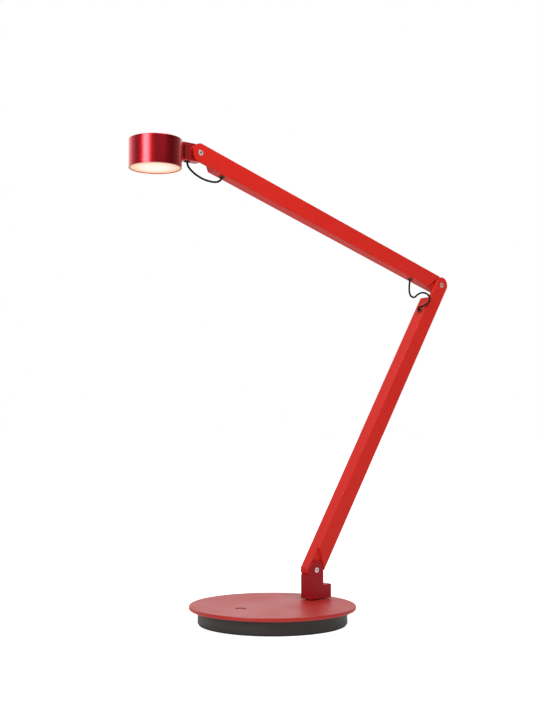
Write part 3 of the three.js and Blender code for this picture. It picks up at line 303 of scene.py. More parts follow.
def wire_tone(graph: Graph, given: bpy.types.Node, result: bpy.types.Node) -> None:
    """Joins the inside of the tone effect: a slow drift of a colour's brightness.

    Args:
        graph: The group's graph.
        given: The node with its inputs.
        result: The node for its outputs.
    """
    drift = graph.add("TexNoise", Vector=given.outputs["Vector"], Scale=given.outputs["Scale"], Detail=2.0)
    swing = graph.math("SUBTRACT", drift.outputs[0], NOISE_MIDDLE)
    scaled = graph.math("MULTIPLY", swing, given.outputs["Amount"])
    value = graph.math("ADD", scaled, 1.0)
    shifted = graph.add("HueSaturation", Value=value, Color=given.outputs["Colour"])
    graph.feed(result.inputs["Colour"], shifted.outputs[0])
    graph.feed(result.inputs["Mask"], drift.outputs[0])


def wire_wear(graph: Graph, given: bpy.types.Node, result: bpy.types.Node) -> None:
    """Joins the inside of the edge effect: a patchy rub along the eased edges.

    Args:
        graph: The group's graph.
        given: The node with its inputs.
        result: The node for its outputs.
    """
    patches = graph.add("TexNoise", Vector=given.outputs["Vector"], Scale=RUB_SCALE, Detail=3.0)
    patchy = graph.spread(patches.outputs[0], RUB_RANGE, LEAST_RUB, 1.0)
    mask = graph.math("MULTIPLY", patchy, given.outputs["Edge"])
    share = graph.math("MULTIPLY", mask, given.outputs["Amount"])
    graph.feed(result.inputs["Colour"], graph.mix(share, given.outputs["Colour"], given.outputs["Rubbed"]))
    graph.feed(result.inputs["Mask"], share)


GRAIN = Effect(
    "surface_grain",
    (("Vector", "Vector", None), ("Scale", "Float", 500.0)),
    (("Height", "Float"), ("Mask", "Float")),
    wire_grain,
)
TURNING = Effect(
    "lathe_lines",
    (("Vector", "Vector", None), ("Scale", "Float", 4000.0)),
    (("Height", "Float"), ("Mask", "Float")),
    wire_turning,
)
TONE = Effect(
    "tone_drift",
    (
        ("Vector", "Vector", None),
        ("Colour", "Color", (0.5, 0.5, 0.5, 1.0)),
        ("Scale", "Float", 12.0),
        ("Amount", "Float", 0.1),
    ),
    (("Colour", "Color"), ("Mask", "Float")),
    wire_tone,
)
WEAR = Effect(
    "edge_rub",
    (
        ("Vector", "Vector", None),
        ("Edge", "Float", 0.0),
        ("Colour", "Color", (0.5, 0.5, 0.5, 1.0)),
        ("Rubbed", "Color", (0.7, 0.7, 0.7, 1.0)),
        ("Amount", "Float", 0.3),
    ),
    (("Colour", "Color"), ("Mask", "Float")),
    wire_wear,
)


# ---------------------------------------------------------------- finishes


@dataclass(frozen=True)
class Finish:
    """One surface finish, from its base colour to its fine relief.

    Attributes:
        name: The material's name.
        colour: The base colour, linear.
        rubbed: The colour that its edges are rubbed to.
        roughness: The middle of its roughness.
        roughness_swing: How far the roughness drifts over the surface.
        metallic: 1 for bare or anodised metal.
        specular: The strength of the plain reflection.
        coat: The weight of a clear layer over it.
        coat_roughness: The roughness of that layer.
        tone: How far the brightness drifts over the surface.
        tone_scale: How many drifts there are in a metre.
        wear: How strongly the eased edges are rubbed.
        grain: How its fine relief runs.
        grain_scale: How many grains there are in a metre.
        grain_height: How high the grains are.
        glow: How bright it is by itself.
    """

    name: str
    colour: Colour
    rubbed: Colour = (0.5, 0.5, 0.5)
    roughness: float = 0.5
    roughness_swing: float = 0.06
    metallic: float = 0.0
    specular: float = 0.5
    coat: float = 0.0
    coat_roughness: float = 0.1
    tone: float = 0.08
    tone_scale: float = 14.0
    wear: float = 0.2
    grain: Grain = Grain.FINE
    grain_scale: float = 1500.0
    grain_height: float = 0.01 * MM
    glow: float = 0.0

    def material(self) -> bpy.types.Material:
        """Gives the finish's material, made on first use.

        Returns:
            The material.
        """
        known = bpy.data.materials.get(self.name)
        if known is not None:
            return known
        material = bpy.data.materials.new(self.name)
        material.use_nodes = True
        graph = Graph(material.node_tree)
        shader = graph.add("BsdfPrincipled")
        self.set_constants(shader)
        self.dress(graph, shader)
        out = graph.add("OutputMaterial")
        graph.feed(out.inputs["Surface"], shader.outputs[0])
        return material

    def set_constants(self, shader: bpy.types.Node) -> None:
        """Sets the values that are the same all over the surface.

        Args:
            shader: The shader, whose own sockets take them.
        """
        shader.inputs["Metallic"].default_value = self.metallic
        shader.inputs["Specular IOR Level"].default_value = self.specular
        shader.inputs["Coat Weight"].default_value = self.coat
        shader.inputs["Coat Roughness"].default_value = self.coat_roughness
        shader.inputs["Emission Color"].default_value = (*WHITE, 1.0)
        shader.inputs["Emission Strength"].default_value = self.glow

    def dress(self, graph: Graph, shader: bpy.types.Node) -> None:
        """Feeds the colour, the roughness and the relief, which change over the surface.

        Args:
            graph: The material's graph.
            shader: The shader that it ends in.
        """
        where = graph.add("TexCoord").outputs["Object"]
        tone = TONE.place(graph, Vector=where, Colour=self.colour, Scale=self.tone_scale, Amount=self.tone)
        edge = graph.add("Attribute", {"attribute_name": WORN}).outputs["Fac"]
        rub = WEAR.place(
            graph, Vector=where, Edge=edge, Colour=tone.outputs["Colour"], Rubbed=self.rubbed,
            Amount=self.wear,
        )
        # painted shade: faces marked by the recess attribute are mixed to near-black, standing for the shadow in
        # the recess
        recess_shade = graph.add("Attribute", {"attribute_name": RECESS_SHADE}).outputs["Fac"]
        graph.feed(shader.inputs["Base Color"], graph.mix(recess_shade, rub.outputs["Colour"], RECESS_SHADE_COLOUR))
        effect = TURNING if self.grain is Grain.TURNED else GRAIN
        relief = effect.place(graph, Vector=where, Scale=self.grain_scale)
        mask = tone.outputs["Mask"] if self.grain is Grain.PEEL else relief.outputs["Mask"]
        smooth = self.roughness - self.roughness_swing
        rough = self.roughness + self.roughness_swing
        graph.feed(shader.inputs["Roughness"], graph.spread(mask, NOISE_RANGE, smooth, rough))
        bump = graph.add(
            "Bump", Height=relief.outputs["Height"], Distance=self.grain_height, Strength=BUMP_STRENGTH
        )
        graph.feed(shader.inputs["Normal"], bump.outputs[0])


@dataclass(frozen=True)
class GlowFinish(Finish):
    """An opal diffuser that is lit from behind: white in its middle and warm at its rim.

    Attributes:
        centre: The middle of the disc.
        radius: The disc's radius.
        middle: The light's colour in the middle.
        rim: The light's colour at the rim.
        middle_share: The share of the radius within which the colour is that of the middle.
    """

    centre: Point = (0.0, 0.0, 0.0)
    radius: float = 0.03
    middle: Colour = (1.0, 0.96, 0.84)
    rim: Colour = (0.98, 0.58, 0.32)
    middle_share: float = 0.45

    def dress(self, graph: Graph, shader: bpy.types.Node) -> None:
        """Adds the light's own colour, by how far a point is from the disc's middle.

        Args:
            graph: The material's graph.
            shader: The shader that it ends in.
        """
        super().dress(graph, shader)
        where = graph.add("TexCoord").outputs["Object"]
        centred = graph.add("Mapping", Vector=where, Location=tuple(-c for c in self.centre))
        away = graph.add("VectorMath", {"operation": "LENGTH"}, i0=centred.outputs[0]).outputs["Value"]
        share = graph.spread(away, (self.middle_share * self.radius, self.radius), 0.0, 1.0)
        graph.feed(shader.inputs["Emission Color"], graph.mix(share, self.middle, self.rim))


@dataclass(frozen=True)
class FloorFinish(Finish):
    """A pale studio floor that looks white and yet throws little light back up.

    Attributes:
        thrown: The share of its own brightness that lights other things.
    """

    thrown: Colour = (0.16, 0.16, 0.16)

    def dress(self, graph: Graph, shader: bpy.types.Node) -> None:
        """Makes the floor's own brightness full only where it is looked at.

        Args:
            graph: The material's graph.
            shader: The shader that it ends in.
        """
        super().dress(graph, shader)
        seen = graph.add("LightPath").outputs["Is Camera Ray"]
        graph.feed(shader.inputs["Emission Color"], graph.mix(seen, self.thrown, WHITE))


RUBBED_RED = (0.62, 0.10, 0.085)
PAINT_RED = (0.60, 0.016, 0.009)

# The post wears the arms' red paint made darker as painted shade: the post stands low, far from the lights.
SHADED_POST_RED = Finish(
    "post_red_powder_coat_darkened_as_shade", (0.33, 0.005, 0.009), (0.45, 0.06, 0.06), roughness=0.42, roughness_swing=0.05,
    specular=0.2, tone=0.06, wear=0.25, grain=Grain.PEEL, grain_scale=900.0, grain_height=0.006 * MM,
)
DRUM_RED = Finish(
    "dark_red_anodised_drum", (0.85, 0.001, 0.014), (0.40, 0.30, 0.26), roughness=0.26,
    roughness_swing=0.015, metallic=1.0, coat=1.0, coat_roughness=0.22, tone=0.05, wear=1.0,
    grain=Grain.TURNED, grain_scale=5000.0, grain_height=0.0006 * MM,
)
# Steel coloured near-black as painted shade, for the pieces that show in the dark gap at the neck.
GAP_SHADE_STEEL = Finish(
    "steel_darkened_as_gap_shade", (0.03, 0.028, 0.028), (0.2, 0.2, 0.2), roughness=0.4, metallic=1.0, tone=0.15,
    grain_scale=2200.0,
)

FINISHES: dict[str, Finish] = {
    "satin_red": Finish(
        "satin_red_powder_coat", PAINT_RED, RUBBED_RED, roughness=0.4, roughness_swing=0.05, specular=0.22,
        tone=0.06, wear=0.25, grain=Grain.PEEL, grain_scale=900.0, grain_height=0.006 * MM,
    ),
    # The plate's red is the arms' paint made darker as painted shade.
    "plate_red": Finish(
        "plate_red_powder_coat_darkened_as_shade", (0.42, 0.014, 0.009), (0.85, 0.07, 0.045), roughness=0.42,
        roughness_swing=0.05, tone=0.05, wear=0.9, grain=Grain.PEEL, grain_scale=900.0,
        grain_height=0.006 * MM,
    ),
    "anodised_red": Finish(
        "dark_red_anodised_metal", (0.66, 0.02, 0.024), (0.72, 0.30, 0.30), roughness=0.34,
        roughness_swing=0.03, metallic=0.8, coat=0.6, coat_roughness=0.3, tone=0.05,
        grain=Grain.TURNED, grain_scale=5000.0, grain_height=0.002 * MM,
    ),
    "housing_grey": Finish(
        "warm_grey_moulded_housing", (0.030, 0.025, 0.023), (0.16, 0.14, 0.13), roughness=0.5, tone=0.05,
        wear=0.3, grain_scale=2600.0, grain_height=0.005 * MM,
    ),
    "black_rubber": Finish(
        "black_rubber", (0.006, 0.006, 0.006), (0.02, 0.02, 0.02), roughness=0.72, specular=0.15, tone=0.2,
        grain_scale=1800.0, grain_height=0.03 * MM,
    ),
    "black_plastic": Finish(
        "black_moulded_plastic", (0.018, 0.017, 0.017), (0.06, 0.06, 0.06), roughness=0.45, tone=0.15,
        grain_scale=2400.0,
    ),
    "button_grey": Finish(
        "rose_grey_button", (0.30, 0.13, 0.13), (0.5, 0.3, 0.3), roughness=0.4, grain_scale=2200.0
    ),
    "lead_black": Finish(
        "black_lead_sheath", (0.003, 0.003, 0.003), (0.03, 0.03, 0.03), roughness=0.55, specular=0.12,
        tone=0.2, grain_scale=3000.0, grain_height=0.015 * MM,
    ),
    "nickel": Finish(
        "bright_nickel", (0.86, 0.81, 0.76), (0.9, 0.87, 0.84), roughness=0.3, metallic=0.55, tone=0.06,
        grain_scale=4200.0, grain_height=0.004 * MM,
    ),
    "zinc_steel": Finish(
        "zinc_plated_steel", (0.52, 0.53, 0.54), (0.7, 0.7, 0.7), roughness=0.34, metallic=1.0, tone=0.14,
        tone_scale=60.0, grain_scale=2200.0, grain_height=0.008 * MM,
    ),
    "ballast_steel": Finish(
        "dark_rolled_steel", (0.16, 0.16, 0.17), (0.4, 0.4, 0.4), roughness=0.5, metallic=1.0, tone=0.3,
        tone_scale=30.0, grain_scale=700.0, grain_height=0.03 * MM,
    ),
    "nylon": Finish(
        "milky_nylon", (0.62, 0.60, 0.55), (0.7, 0.68, 0.64), roughness=0.5, tone=0.06, grain_scale=1600.0
    ),
    "bare_aluminium": Finish(
        "turned_aluminium", (0.66, 0.67, 0.68), (0.8, 0.8, 0.8), roughness=0.32, metallic=1.0, tone=0.06,
        grain=Grain.TURNED, grain_scale=3500.0, grain_height=0.006 * MM,
    ),
    "board_green": Finish(
        "green_circuit_board", (0.012, 0.11, 0.035), (0.3, 0.3, 0.2), roughness=0.4, coat=0.3, tone=0.12,
        tone_scale=90.0, grain_scale=1200.0,
    ),
    "led_yellow": Finish(
        "yellow_phosphor", (0.78, 0.55, 0.06), (0.8, 0.7, 0.3), roughness=0.5, tone=0.1, grain_scale=3000.0
    ),
    "white_plastic": Finish(
        "white_reflector_plastic", (0.80, 0.80, 0.78), (0.85, 0.85, 0.85), roughness=0.4, tone=0.03,
        grain_scale=1800.0,
    ),
}


# ---------------------------------------------------------------- shapes


def copied(node: str) -> bmesh.types.BMesh:
    """Copies a CAD node's mesh, with its triangles joined into whole faces.

    Args:
        node: The node's name.

    Returns:
        The copy, which belongs to the caller.
    """
    mesh = bmesh.new()
    mesh.from_mesh(frame["nodes"][node].data)
    bmesh.ops.remove_doubles(mesh, verts=mesh.verts[:], dist=CAD_SEAM)
    bmesh.ops.dissolve_limit(
        mesh, angle_limit=FLAT_ANGLE, use_dissolve_boundaries=False, verts=mesh.verts[:], edges=mesh.edges[:]
    )
    return mesh


def mark(mesh: bmesh.types.BMesh, name: str, faces: Iterable[bmesh.types.BMFace]) -> None:
    """Marks the inside of a set of faces with an attribute: 1 there, and 0 on their border and elsewhere.

    Args:
        mesh: The shape.
        name: The attribute's name.
        faces: The faces to mark.
    """
    layer = mesh.loops.layers.float.get(name) or mesh.loops.layers.float.new(name)
    inside = set(faces)
    for face in mesh.faces:
        for loop in face.loops:
            loop[layer] = 1.0 if face in inside and inside.issuperset(loop.vert.link_faces) else 0.0


def ease(mesh: bmesh.types.BMesh, width: float, steps: int = 3) -> None:
    """Rounds the sharp outer edges of a shape and marks them as the ones that get rubbed.

    Args:
        mesh: The shape.
        width: How far the rounding reaches on each side of an edge.
        steps: How many faces the rounding has across it.
    """
    sharp = [
        edge for edge in mesh.edges
        if len(edge.link_faces) == 2 and edge.is_convex and edge.calc_face_angle() > EASED_ANGLE
    ]
    made = bmesh.ops.bevel(
        mesh, geom=sharp, offset=width, offset_type="OFFSET", segments=steps, profile=0.5, affect="EDGES",
        clamp_overlap=True, material=-1,
    )
    mark(mesh, WORN, made["faces"])


def placed(mesh: bmesh.types.BMesh, centre: Vector, turn: Matrix | None = None) -> bmesh.types.BMesh:
    """Turns a shape about the origin and then moves it to its place.

    Args:
        mesh: The shape, made round the origin.
        centre: Where its origin goes.
        turn: Its turn, where it has one.

    Returns:
        The same shape.
    """
    if turn is not None:
        bmesh.ops.rotate(mesh, cent=(0, 0, 0), matrix=turn, verts=mesh.verts[:])
    bmesh.ops.translate(mesh, vec=centre, verts=mesh.verts[:])
    return mesh


def make_object(mesh: bmesh.types.BMesh, name: str, finish: Finish) -> bpy.types.Object:
    """Makes an object of a shape, shaded smooth up to its creases, and frees the shape.

    Args:
        mesh: The shape, in its place.
        name: The object's name.
        finish: Its surface finish.

    Returns:
        The new object.
    """
    data = bpy.data.meshes.new(name)
    mesh.to_mesh(data)
    mesh.free()
    for polygon in data.polygons:
        polygon.use_smooth = True
    data.set_sharp_from_angle(angle=CREASE_ANGLE)
    data.materials.append(finish.material())
    obj = bpy.data.objects.new(name, data)
    bpy.context.scene.collection.objects.link(obj)
    normals = obj.modifiers.new("flat_faces_stay_flat", "WEIGHTED_NORMAL")
    normals.keep_sharp = True
    return obj


# ---------------------------------------------------------------- sub-assemblies


@dataclass
class SubAssembly:
    """What every sub-assembly does: it stands new pieces in for nodes and dresses the nodes that stay.

    Attributes:
        edge: How far the easing of an ordinary edge reaches.
    """

    edge: float = 0.35 * MM

    def stand_in(self, mesh: bmesh.types.BMesh, node: str, finish: Finish | None = None) -> None:
        """Makes a piece that stands for a node and moves with its body.

        Args:
            mesh: The piece's shape, in its place.
            node: The node that it stands for.
            finish: Its finish, where it isn't the one of the node's slot.
        """
        slot = slot_of(node)
        obj = make_object(mesh, f"{node}_finished", finish or FINISHES[slot])
        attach(obj, body_of(node))
        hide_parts(node)
        LOG.info("made %s: %d faces", obj.name, len(obj.data.polygons))

    def refine(self, node: str, width: float | None = None, finish: Finish | None = None) -> None:
        """Makes a node again with eased edges.

        Args:
            node: The node's name.
            width: How far the easing reaches, where it isn't the ordinary width.
            finish: Its finish, where it isn't the one of the node's slot.
        """
        mesh = copied(node)
        ease(mesh, self.edge if width is None else width)
        self.stand_in(mesh, node, finish)

    def dress(self, nodes: Iterable[str], finish: Finish | None = None) -> None:
        """Gives the nodes that stay as they are a finish.

        Args:
            nodes: The nodes' names.
            finish: Their finish, where it isn't the one of each node's slot.
        """
        for node in nodes:
            data = frame["nodes"][node].data
            data.materials.clear()
            data.materials.append((finish or FINISHES[slot_of(node)]).material())
            LOG.info("dressed %s", node)


@dataclass
class PivotScrew(SubAssembly):
    """A countersunk screw with a hexagon socket, which holds a tilt joint together.

    Attributes:
        node: The screw's node.
        head_radius: The head's radius at its face.
        rim: The width of the chamfer round the face.
        rim_depth: How deep that chamfer is.
        head_depth: How deep the countersunk cone is.
        shank_radius: The shank's radius.
        socket_radius: The hexagon's corner radius.
        socket_depth: The hexagon's depth.
        corner_cuts: How many cuts each side of the hexagon has, so that it meets the round face.
    """

    node: str = "elbow_pivot_screw"
    head_radius: float = 3.75 * MM
    rim: float = 0.3 * MM
    rim_depth: float = 0.18 * MM
    head_depth: float = 2.2 * MM
    shank_radius: float = 2.0 * MM
    socket_radius: float = 1.6 * MM
    socket_depth: float = 2.0 * MM
    corner_cuts: int = 7

    def shape(self, length: float) -> bmesh.types.BMesh:
        """Shapes the screw with its face at the origin and its shank down the Z axis.

        Args:
            length: The whole screw's length.

        Returns:
            The shape.
        """
        mesh = bmesh.new()
        steps = 6 * (self.corner_cuts + 1)
        face = bmesh.ops.create_circle(mesh, segments=steps, radius=self.head_radius - self.rim)
        hexagon = bmesh.ops.create_circle(mesh, segments=6, radius=self.socket_radius)
        rim_edges = list({e for v in face["verts"] for e in v.link_edges})
        hex_edges = list({e for v in hexagon["verts"] for e in v.link_edges})
        cut = bmesh.ops.subdivide_edges(mesh, edges=hex_edges, cuts=self.corner_cuts)
        hex_edges = list(set(hex_edges) | {e for e in cut["geom"] if isinstance(e, bmesh.types.BMEdge)})
        bmesh.ops.bridge_loops(mesh, edges=rim_edges + hex_edges)
        sunk = self.drop(mesh, hex_edges, 1.0, self.socket_depth)
        bmesh.ops.holes_fill(mesh, edges=sunk)
        loop = self.drop(mesh, rim_edges, self.head_radius / (self.head_radius - self.rim), self.rim_depth)
        loop = self.drop(mesh, loop, self.shank_radius / self.head_radius, self.head_depth)
        loop = self.drop(mesh, loop, 1.0, length - self.head_depth - self.rim_depth)
        bmesh.ops.holes_fill(mesh, edges=loop)
        bmesh.ops.recalc_face_normals(mesh, faces=mesh.faces[:])
        # paints shade into the hexagon socket
        self.paint_socket_shade(mesh)
        return mesh

    def drop(
        self, mesh: bmesh.types.BMesh, edges: list[bmesh.types.BMEdge], scale: float, depth: float,
    ) -> list[bmesh.types.BMEdge]:
        """Extrudes a loop of edges downwards, wider or narrower.

        Args:
            mesh: The shape.
            edges: The loop.
            scale: How much wider the new loop is.
            depth: How far below the old loop it lies.

        Returns:
            The new loop.
        """
        made = bmesh.ops.extrude_edge_only(mesh, edges=edges)["geom"]
        verts = [item for item in made if isinstance(item, bmesh.types.BMVert)]
        bmesh.ops.scale(mesh, vec=(scale, scale, 1.0), verts=verts)
        bmesh.ops.translate(mesh, vec=(0.0, 0.0, -depth), verts=verts)
        return [item for item in made if isinstance(item, bmesh.types.BMEdge)]

    def paint_socket_shade(self, mesh: bmesh.types.BMesh) -> None:
        """Marks the socket's floor and walls for painted shade: a near-black that stands for the shadow in the
        recess.

        Args:
            mesh: The screw's shape, with its face at the origin.
        """
        layer = mesh.loops.layers.float.new(RECESS_SHADE)
        for face in mesh.faces:
            middle = face.calc_center_median()
            is_socket = middle.z > -self.head_depth and middle.xy.length < self.socket_radius
            for loop in face.loops:
                loop[layer] = 1.0 if is_socket else 0.0

    def build(self) -> None:
        """Builds the screw, with its face towards the near side of the lamp."""
        low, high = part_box(self.node)
        face = Vector(((low.x + high.x) / 2, low.y, (low.z + high.z) / 2))
        mesh = placed(self.shape(high.y - low.y), face, Matrix.Rotation(math.pi / 2, 3, "X"))
        self.stand_in(mesh, self.node)


@dataclass
class PivotHardware(SubAssembly):
    """The screw, the friction washer and the nut of one tilt joint.

    Attributes:
        joint_name: The name that its nodes start with.
        washer_edge: How far the easing of the washer reaches.
        nut_edge: How far the easing of the nut reaches.
    """

    joint_name: str = "elbow"
    washer_edge: float = 0.1 * MM
    nut_edge: float = 0.25 * MM

    def build(self) -> None:
        """Builds the three pieces."""
        PivotScrew(node=f"{self.joint_name}_pivot_screw").build()
        self.refine(f"{self.joint_name}_friction_washer", self.washer_edge)
        self.refine(f"{self.joint_name}_pivot_nut", self.nut_edge)


@dataclass
class BentLead(SubAssembly):
    """A lead that stays inside the lamp at one joint, made again as a piece that stays where it is.

    Attributes:
        node: The lead's node.
        bodies: The two bodies that it runs between; not used.
        start: The end that stays on the first body; not used.
        end: The end that stays on the second body; not used.
    """

    node: str = "base_jumper_lead"
    bodies: tuple[str, str] = ("post", "lower_arm")
    start: Vector = field(default_factory=Vector)
    end: Vector = field(default_factory=Vector)

    def build(self) -> None:
        """Builds the lead again as a smooth-shaded copy that stays where it is."""
        obj = make_object(copied(self.node), f"{self.node}_soft", FINISHES[slot_of(self.node)])
        obj.modifiers.clear()
        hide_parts(self.node)
        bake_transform(obj)
        LOG.info("made %s", obj.name)


@dataclass
class FreeLead(SubAssembly):
    """A loop of thin lead that hangs free round a joint, from a hole in one member to one in the next.

    Attributes:
        node: The lead's node.
        joint: The joint whose centre its points are measured from.
        bodies: The bodies of its first and last point; not used.
        points: Its route, listed as offsets from the joint's centre.
        radius: The lead's radius.
        rounds: How many faces there are in a quarter of the way round it.
    """

    node: str = "elbow_jumper_lead"
    joint: str = "elbow"
    bodies: tuple[str, str] = ("lower_arm", "upper_arm")
    points: tuple[Point, ...] = ()
    radius: float = 1.4 * MM
    rounds: int = 5

    def route(self, steps: int = 6) -> list[Vector]:
        """Draws one smooth line through the chosen points, with the centripetal spacing of the CAD lead.

        Args:
            steps: How many steps there are between two chosen points.

        Returns:
            The line's points.
        """
        centre = joint_centre(self.joint)
        knots = [centre + Vector(p) for p in self.points]
        knots = [2 * knots[0] - knots[1], *knots, 2 * knots[-1] - knots[-2]]
        line = []
        for a, b, c, d in zip(knots, knots[1:], knots[2:], knots[3:]):
            line += [self.between(a, b, c, d, step / steps) for step in range(steps)]
        return [*line, knots[-2]]

    def between(self, a: Vector, b: Vector, c: Vector, d: Vector, share: float) -> Vector:
        """Gives a point of the smooth line between b and c.

        Args:
            a: The knot before b.
            b: The knot at share 0.
            c: The knot at share 1.
            d: The knot after c.
            share: How far along the stretch the point lies.

        Returns:
            The point.
        """
        ab, bc, cd = (math.sqrt((q - p).length) for p, q in ((a, b), (b, c), (c, d)))
        out = (c - b) + bc * ((b - a) / ab - (c - a) / (ab + bc))
        back = (c - b) + bc * ((d - c) / cd - (d - b) / (bc + cd))
        s, t = share, 1 - share
        return b * t * t * (1 + 2 * s) + c * s * s * (3 - 2 * s) + out * s * t * t - back * s * s * t

    def build(self) -> None:
        line = self.route()
        curve = bpy.data.curves.new(self.node, "CURVE")
        curve.dimensions = "3D"
        curve.bevel_depth = self.radius
        curve.bevel_resolution = self.rounds
        curve.use_fill_caps = True
        spline = curve.splines.new("POLY")
        spline.points.add(len(line) - 1)
        for point, place in zip(spline.points, line):
            point.co = (*place, 1.0)
        shape = bpy.data.objects.new(self.node, curve)
        mesh = bmesh.new()
        mesh.from_mesh(shape.to_mesh())
        shape.to_mesh_clear()
        bpy.data.objects.remove(shape)
        bmesh.ops.remove_doubles(mesh, verts=mesh.verts[:], dist=TUBE_SEAM)
        bmesh.ops.recalc_face_normals(mesh, faces=mesh.faces[:])
        obj = make_object(mesh, f"{self.node}_soft", FINISHES["lead_black"])
        obj.modifiers.clear()
        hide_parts(self.node)
        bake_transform(obj)


@dataclass
class Base(SubAssembly):
    """The round weighted base: a steel plate on a housing that holds the ballast and the dimmer.

    Attributes:
        eased: The pieces with eased edges, and how far the easing reaches.
        screw_edge: How far the easing of the cover's screws reaches.
        corners: How many screws and board spacers there are.
        inside: The hidden pieces.
    """

    eased: tuple[tuple[str, float], ...] = (
        ("base_plate", 0.6 * MM), ("base_housing", 0.5 * MM), ("base_pad", 0.3 * MM),
        ("base_cover", 0.3 * MM), ("dc_inlet", 0.3 * MM), ("dc_inlet_pin", 0.2 * MM),
        ("dimmer_button", 0.4 * MM), ("swivel_washer", 0.15 * MM),
    )
    screw_edge: float = 0.2 * MM
    corners: int = 4
    inside: tuple[str, ...] = (
        "ballast_disc", "control_board", "dimmer_switch", "inlet_lead", "base_lead", "swivel_stop_pin",
    )

    def build(self) -> None:
        """Builds the base, its outside first."""
        for node, width in self.eased:
            self.refine(node, width)
        for number in range(1, self.corners + 1):
            self.refine(f"base_screw_{number}", self.screw_edge)
            self.dress([f"board_spacer_{number}"])
        self.dress(self.inside)


@dataclass
class Post(SubAssembly):
    """The swivelling post with its pivot hardware.

    Attributes:
        turning: The hidden pieces that turn with the post.
    """

    turning: tuple[str, ...] = ("swivel_tube", "swivel_stop_plate", "swivel_spring_washer", "swivel_nut")

    def build(self) -> None:
        """Builds the post and the hardware that the lower arm tilts on."""
        # the post's darker red is painted shade
        self.refine("post_bracket", finish=SHADED_POST_RED)
        PivotHardware(joint_name="base").build()
        self.dress(self.turning)


@dataclass
class Arm(SubAssembly):
    """A box-section arm with its grommets, its inner lead and the hardware of its upper joint.

    Attributes:
        node: The arm's node.
        joint_name: The name that the hardware of the joint at its far end starts with.
        grommets: The grommets in it.
        grommet_edge: How far the easing of a grommet reaches.
    """

    node: str = "lower_arm"
    joint_name: str = "elbow"
    grommets: tuple[str, ...] = ("lower_arm_grommet",)
    grommet_edge: float = 0.3 * MM

    def build(self) -> None:
        """Builds the arm and what is fastened to it."""
        self.refine(self.node)
        for grommet in self.grommets:
            self.refine(grommet, self.grommet_edge)
        self.dress([f"{self.node}_lead"])
        PivotHardware(joint_name=self.joint_name).build()


@dataclass
class Head(SubAssembly):
    """The neck and the drum-shaped head with its light.

    Attributes:
        shell_edge: How far the rounding of the drum's ends reaches.
        neck_edge: How far the easing of the neck and its grommet reaches.
        boss_edge: How far the easing of the drum's boss reaches.
        diffuser_edge: How far the easing of the diffuser reaches.
        axle: The pieces that the head rolls on, coloured near-black as painted shade for the dark gap at the neck.
        lamp: The hidden pieces that make the light.
    """

    shell_edge: float = 0.5 * MM
    neck_edge: float = 0.3 * MM
    boss_edge: float = 0.25 * MM
    diffuser_edge: float = 0.3 * MM
    axle: tuple[str, ...] = ("roll_axle", "roll_spring_washer", "roll_nut")
    lamp: tuple[str, ...] = ("heat_sink", "led_board", "led_chip", "reflector")

    def build(self) -> None:
        """Builds the neck, the drum and the glowing diffuser."""
        self.refine("neck_block", self.neck_edge)
        self.refine("neck_grommet", self.neck_edge)
        self.refine("head_boss", self.boss_edge)
        self.add_drum()
        self.refine("diffuser", self.diffuser_edge, self.glow())
        # the axle pieces take a near-black as painted shade in the neck gap
        self.dress(self.axle, GAP_SHADE_STEEL)
        self.dress(self.lamp)

    def add_drum(self) -> None:
        """Builds the drum, whose lower rim alone is cut bright."""
        mesh = copied("head_shell")
        ease(mesh, self.shell_edge)
        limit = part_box("head_shell")[0].z + self.shell_edge
        mark(mesh, WORN, [face for face in mesh.faces if face.calc_center_median().z < limit])
        self.stand_in(mesh, "head_shell", DRUM_RED)

    def glow(self) -> GlowFinish:
        """Gives the finish of the lit diffuser.

        Returns:
            The finish, centred on the disc.
        """
        low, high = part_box("diffuser")
        return GlowFinish(
            "glowing_opal_diffuser", (0.08, 0.078, 0.07), (0.4, 0.4, 0.4), roughness=0.5, specular=0.2,
            tone=0.02, glow=0.9, centre=tuple((low + high) / 2), radius=(high.x - low.x) / 2,
        )


# ---------------------------------------------------------------- studio


@dataclass(frozen=True)
class SoftLight:
    """A soft, oblong light.

    Attributes:
        name: The light's name.
        place: Where it stands.
        aim: The point that it shines at.
        size: Its width and height.
        power: Its power in watts.
    """

    name: str
    place: Point
    aim: Point
    size: tuple[float, float]
    power: float

    def build(self) -> None:
        """Adds the light to the scene."""
        data = bpy.data.lights.new(self.name, "AREA")
        data.shape = "RECTANGLE"
        data.size, data.size_y = self.size
        data.energy = self.power
        light = bpy.data.objects.new(self.name, data)
        light.location = self.place
        light.rotation_euler = (Vector(self.aim) - Vector(self.place)).to_track_quat("-Z", "Y").to_euler()
        bpy.context.scene.collection.objects.link(light)


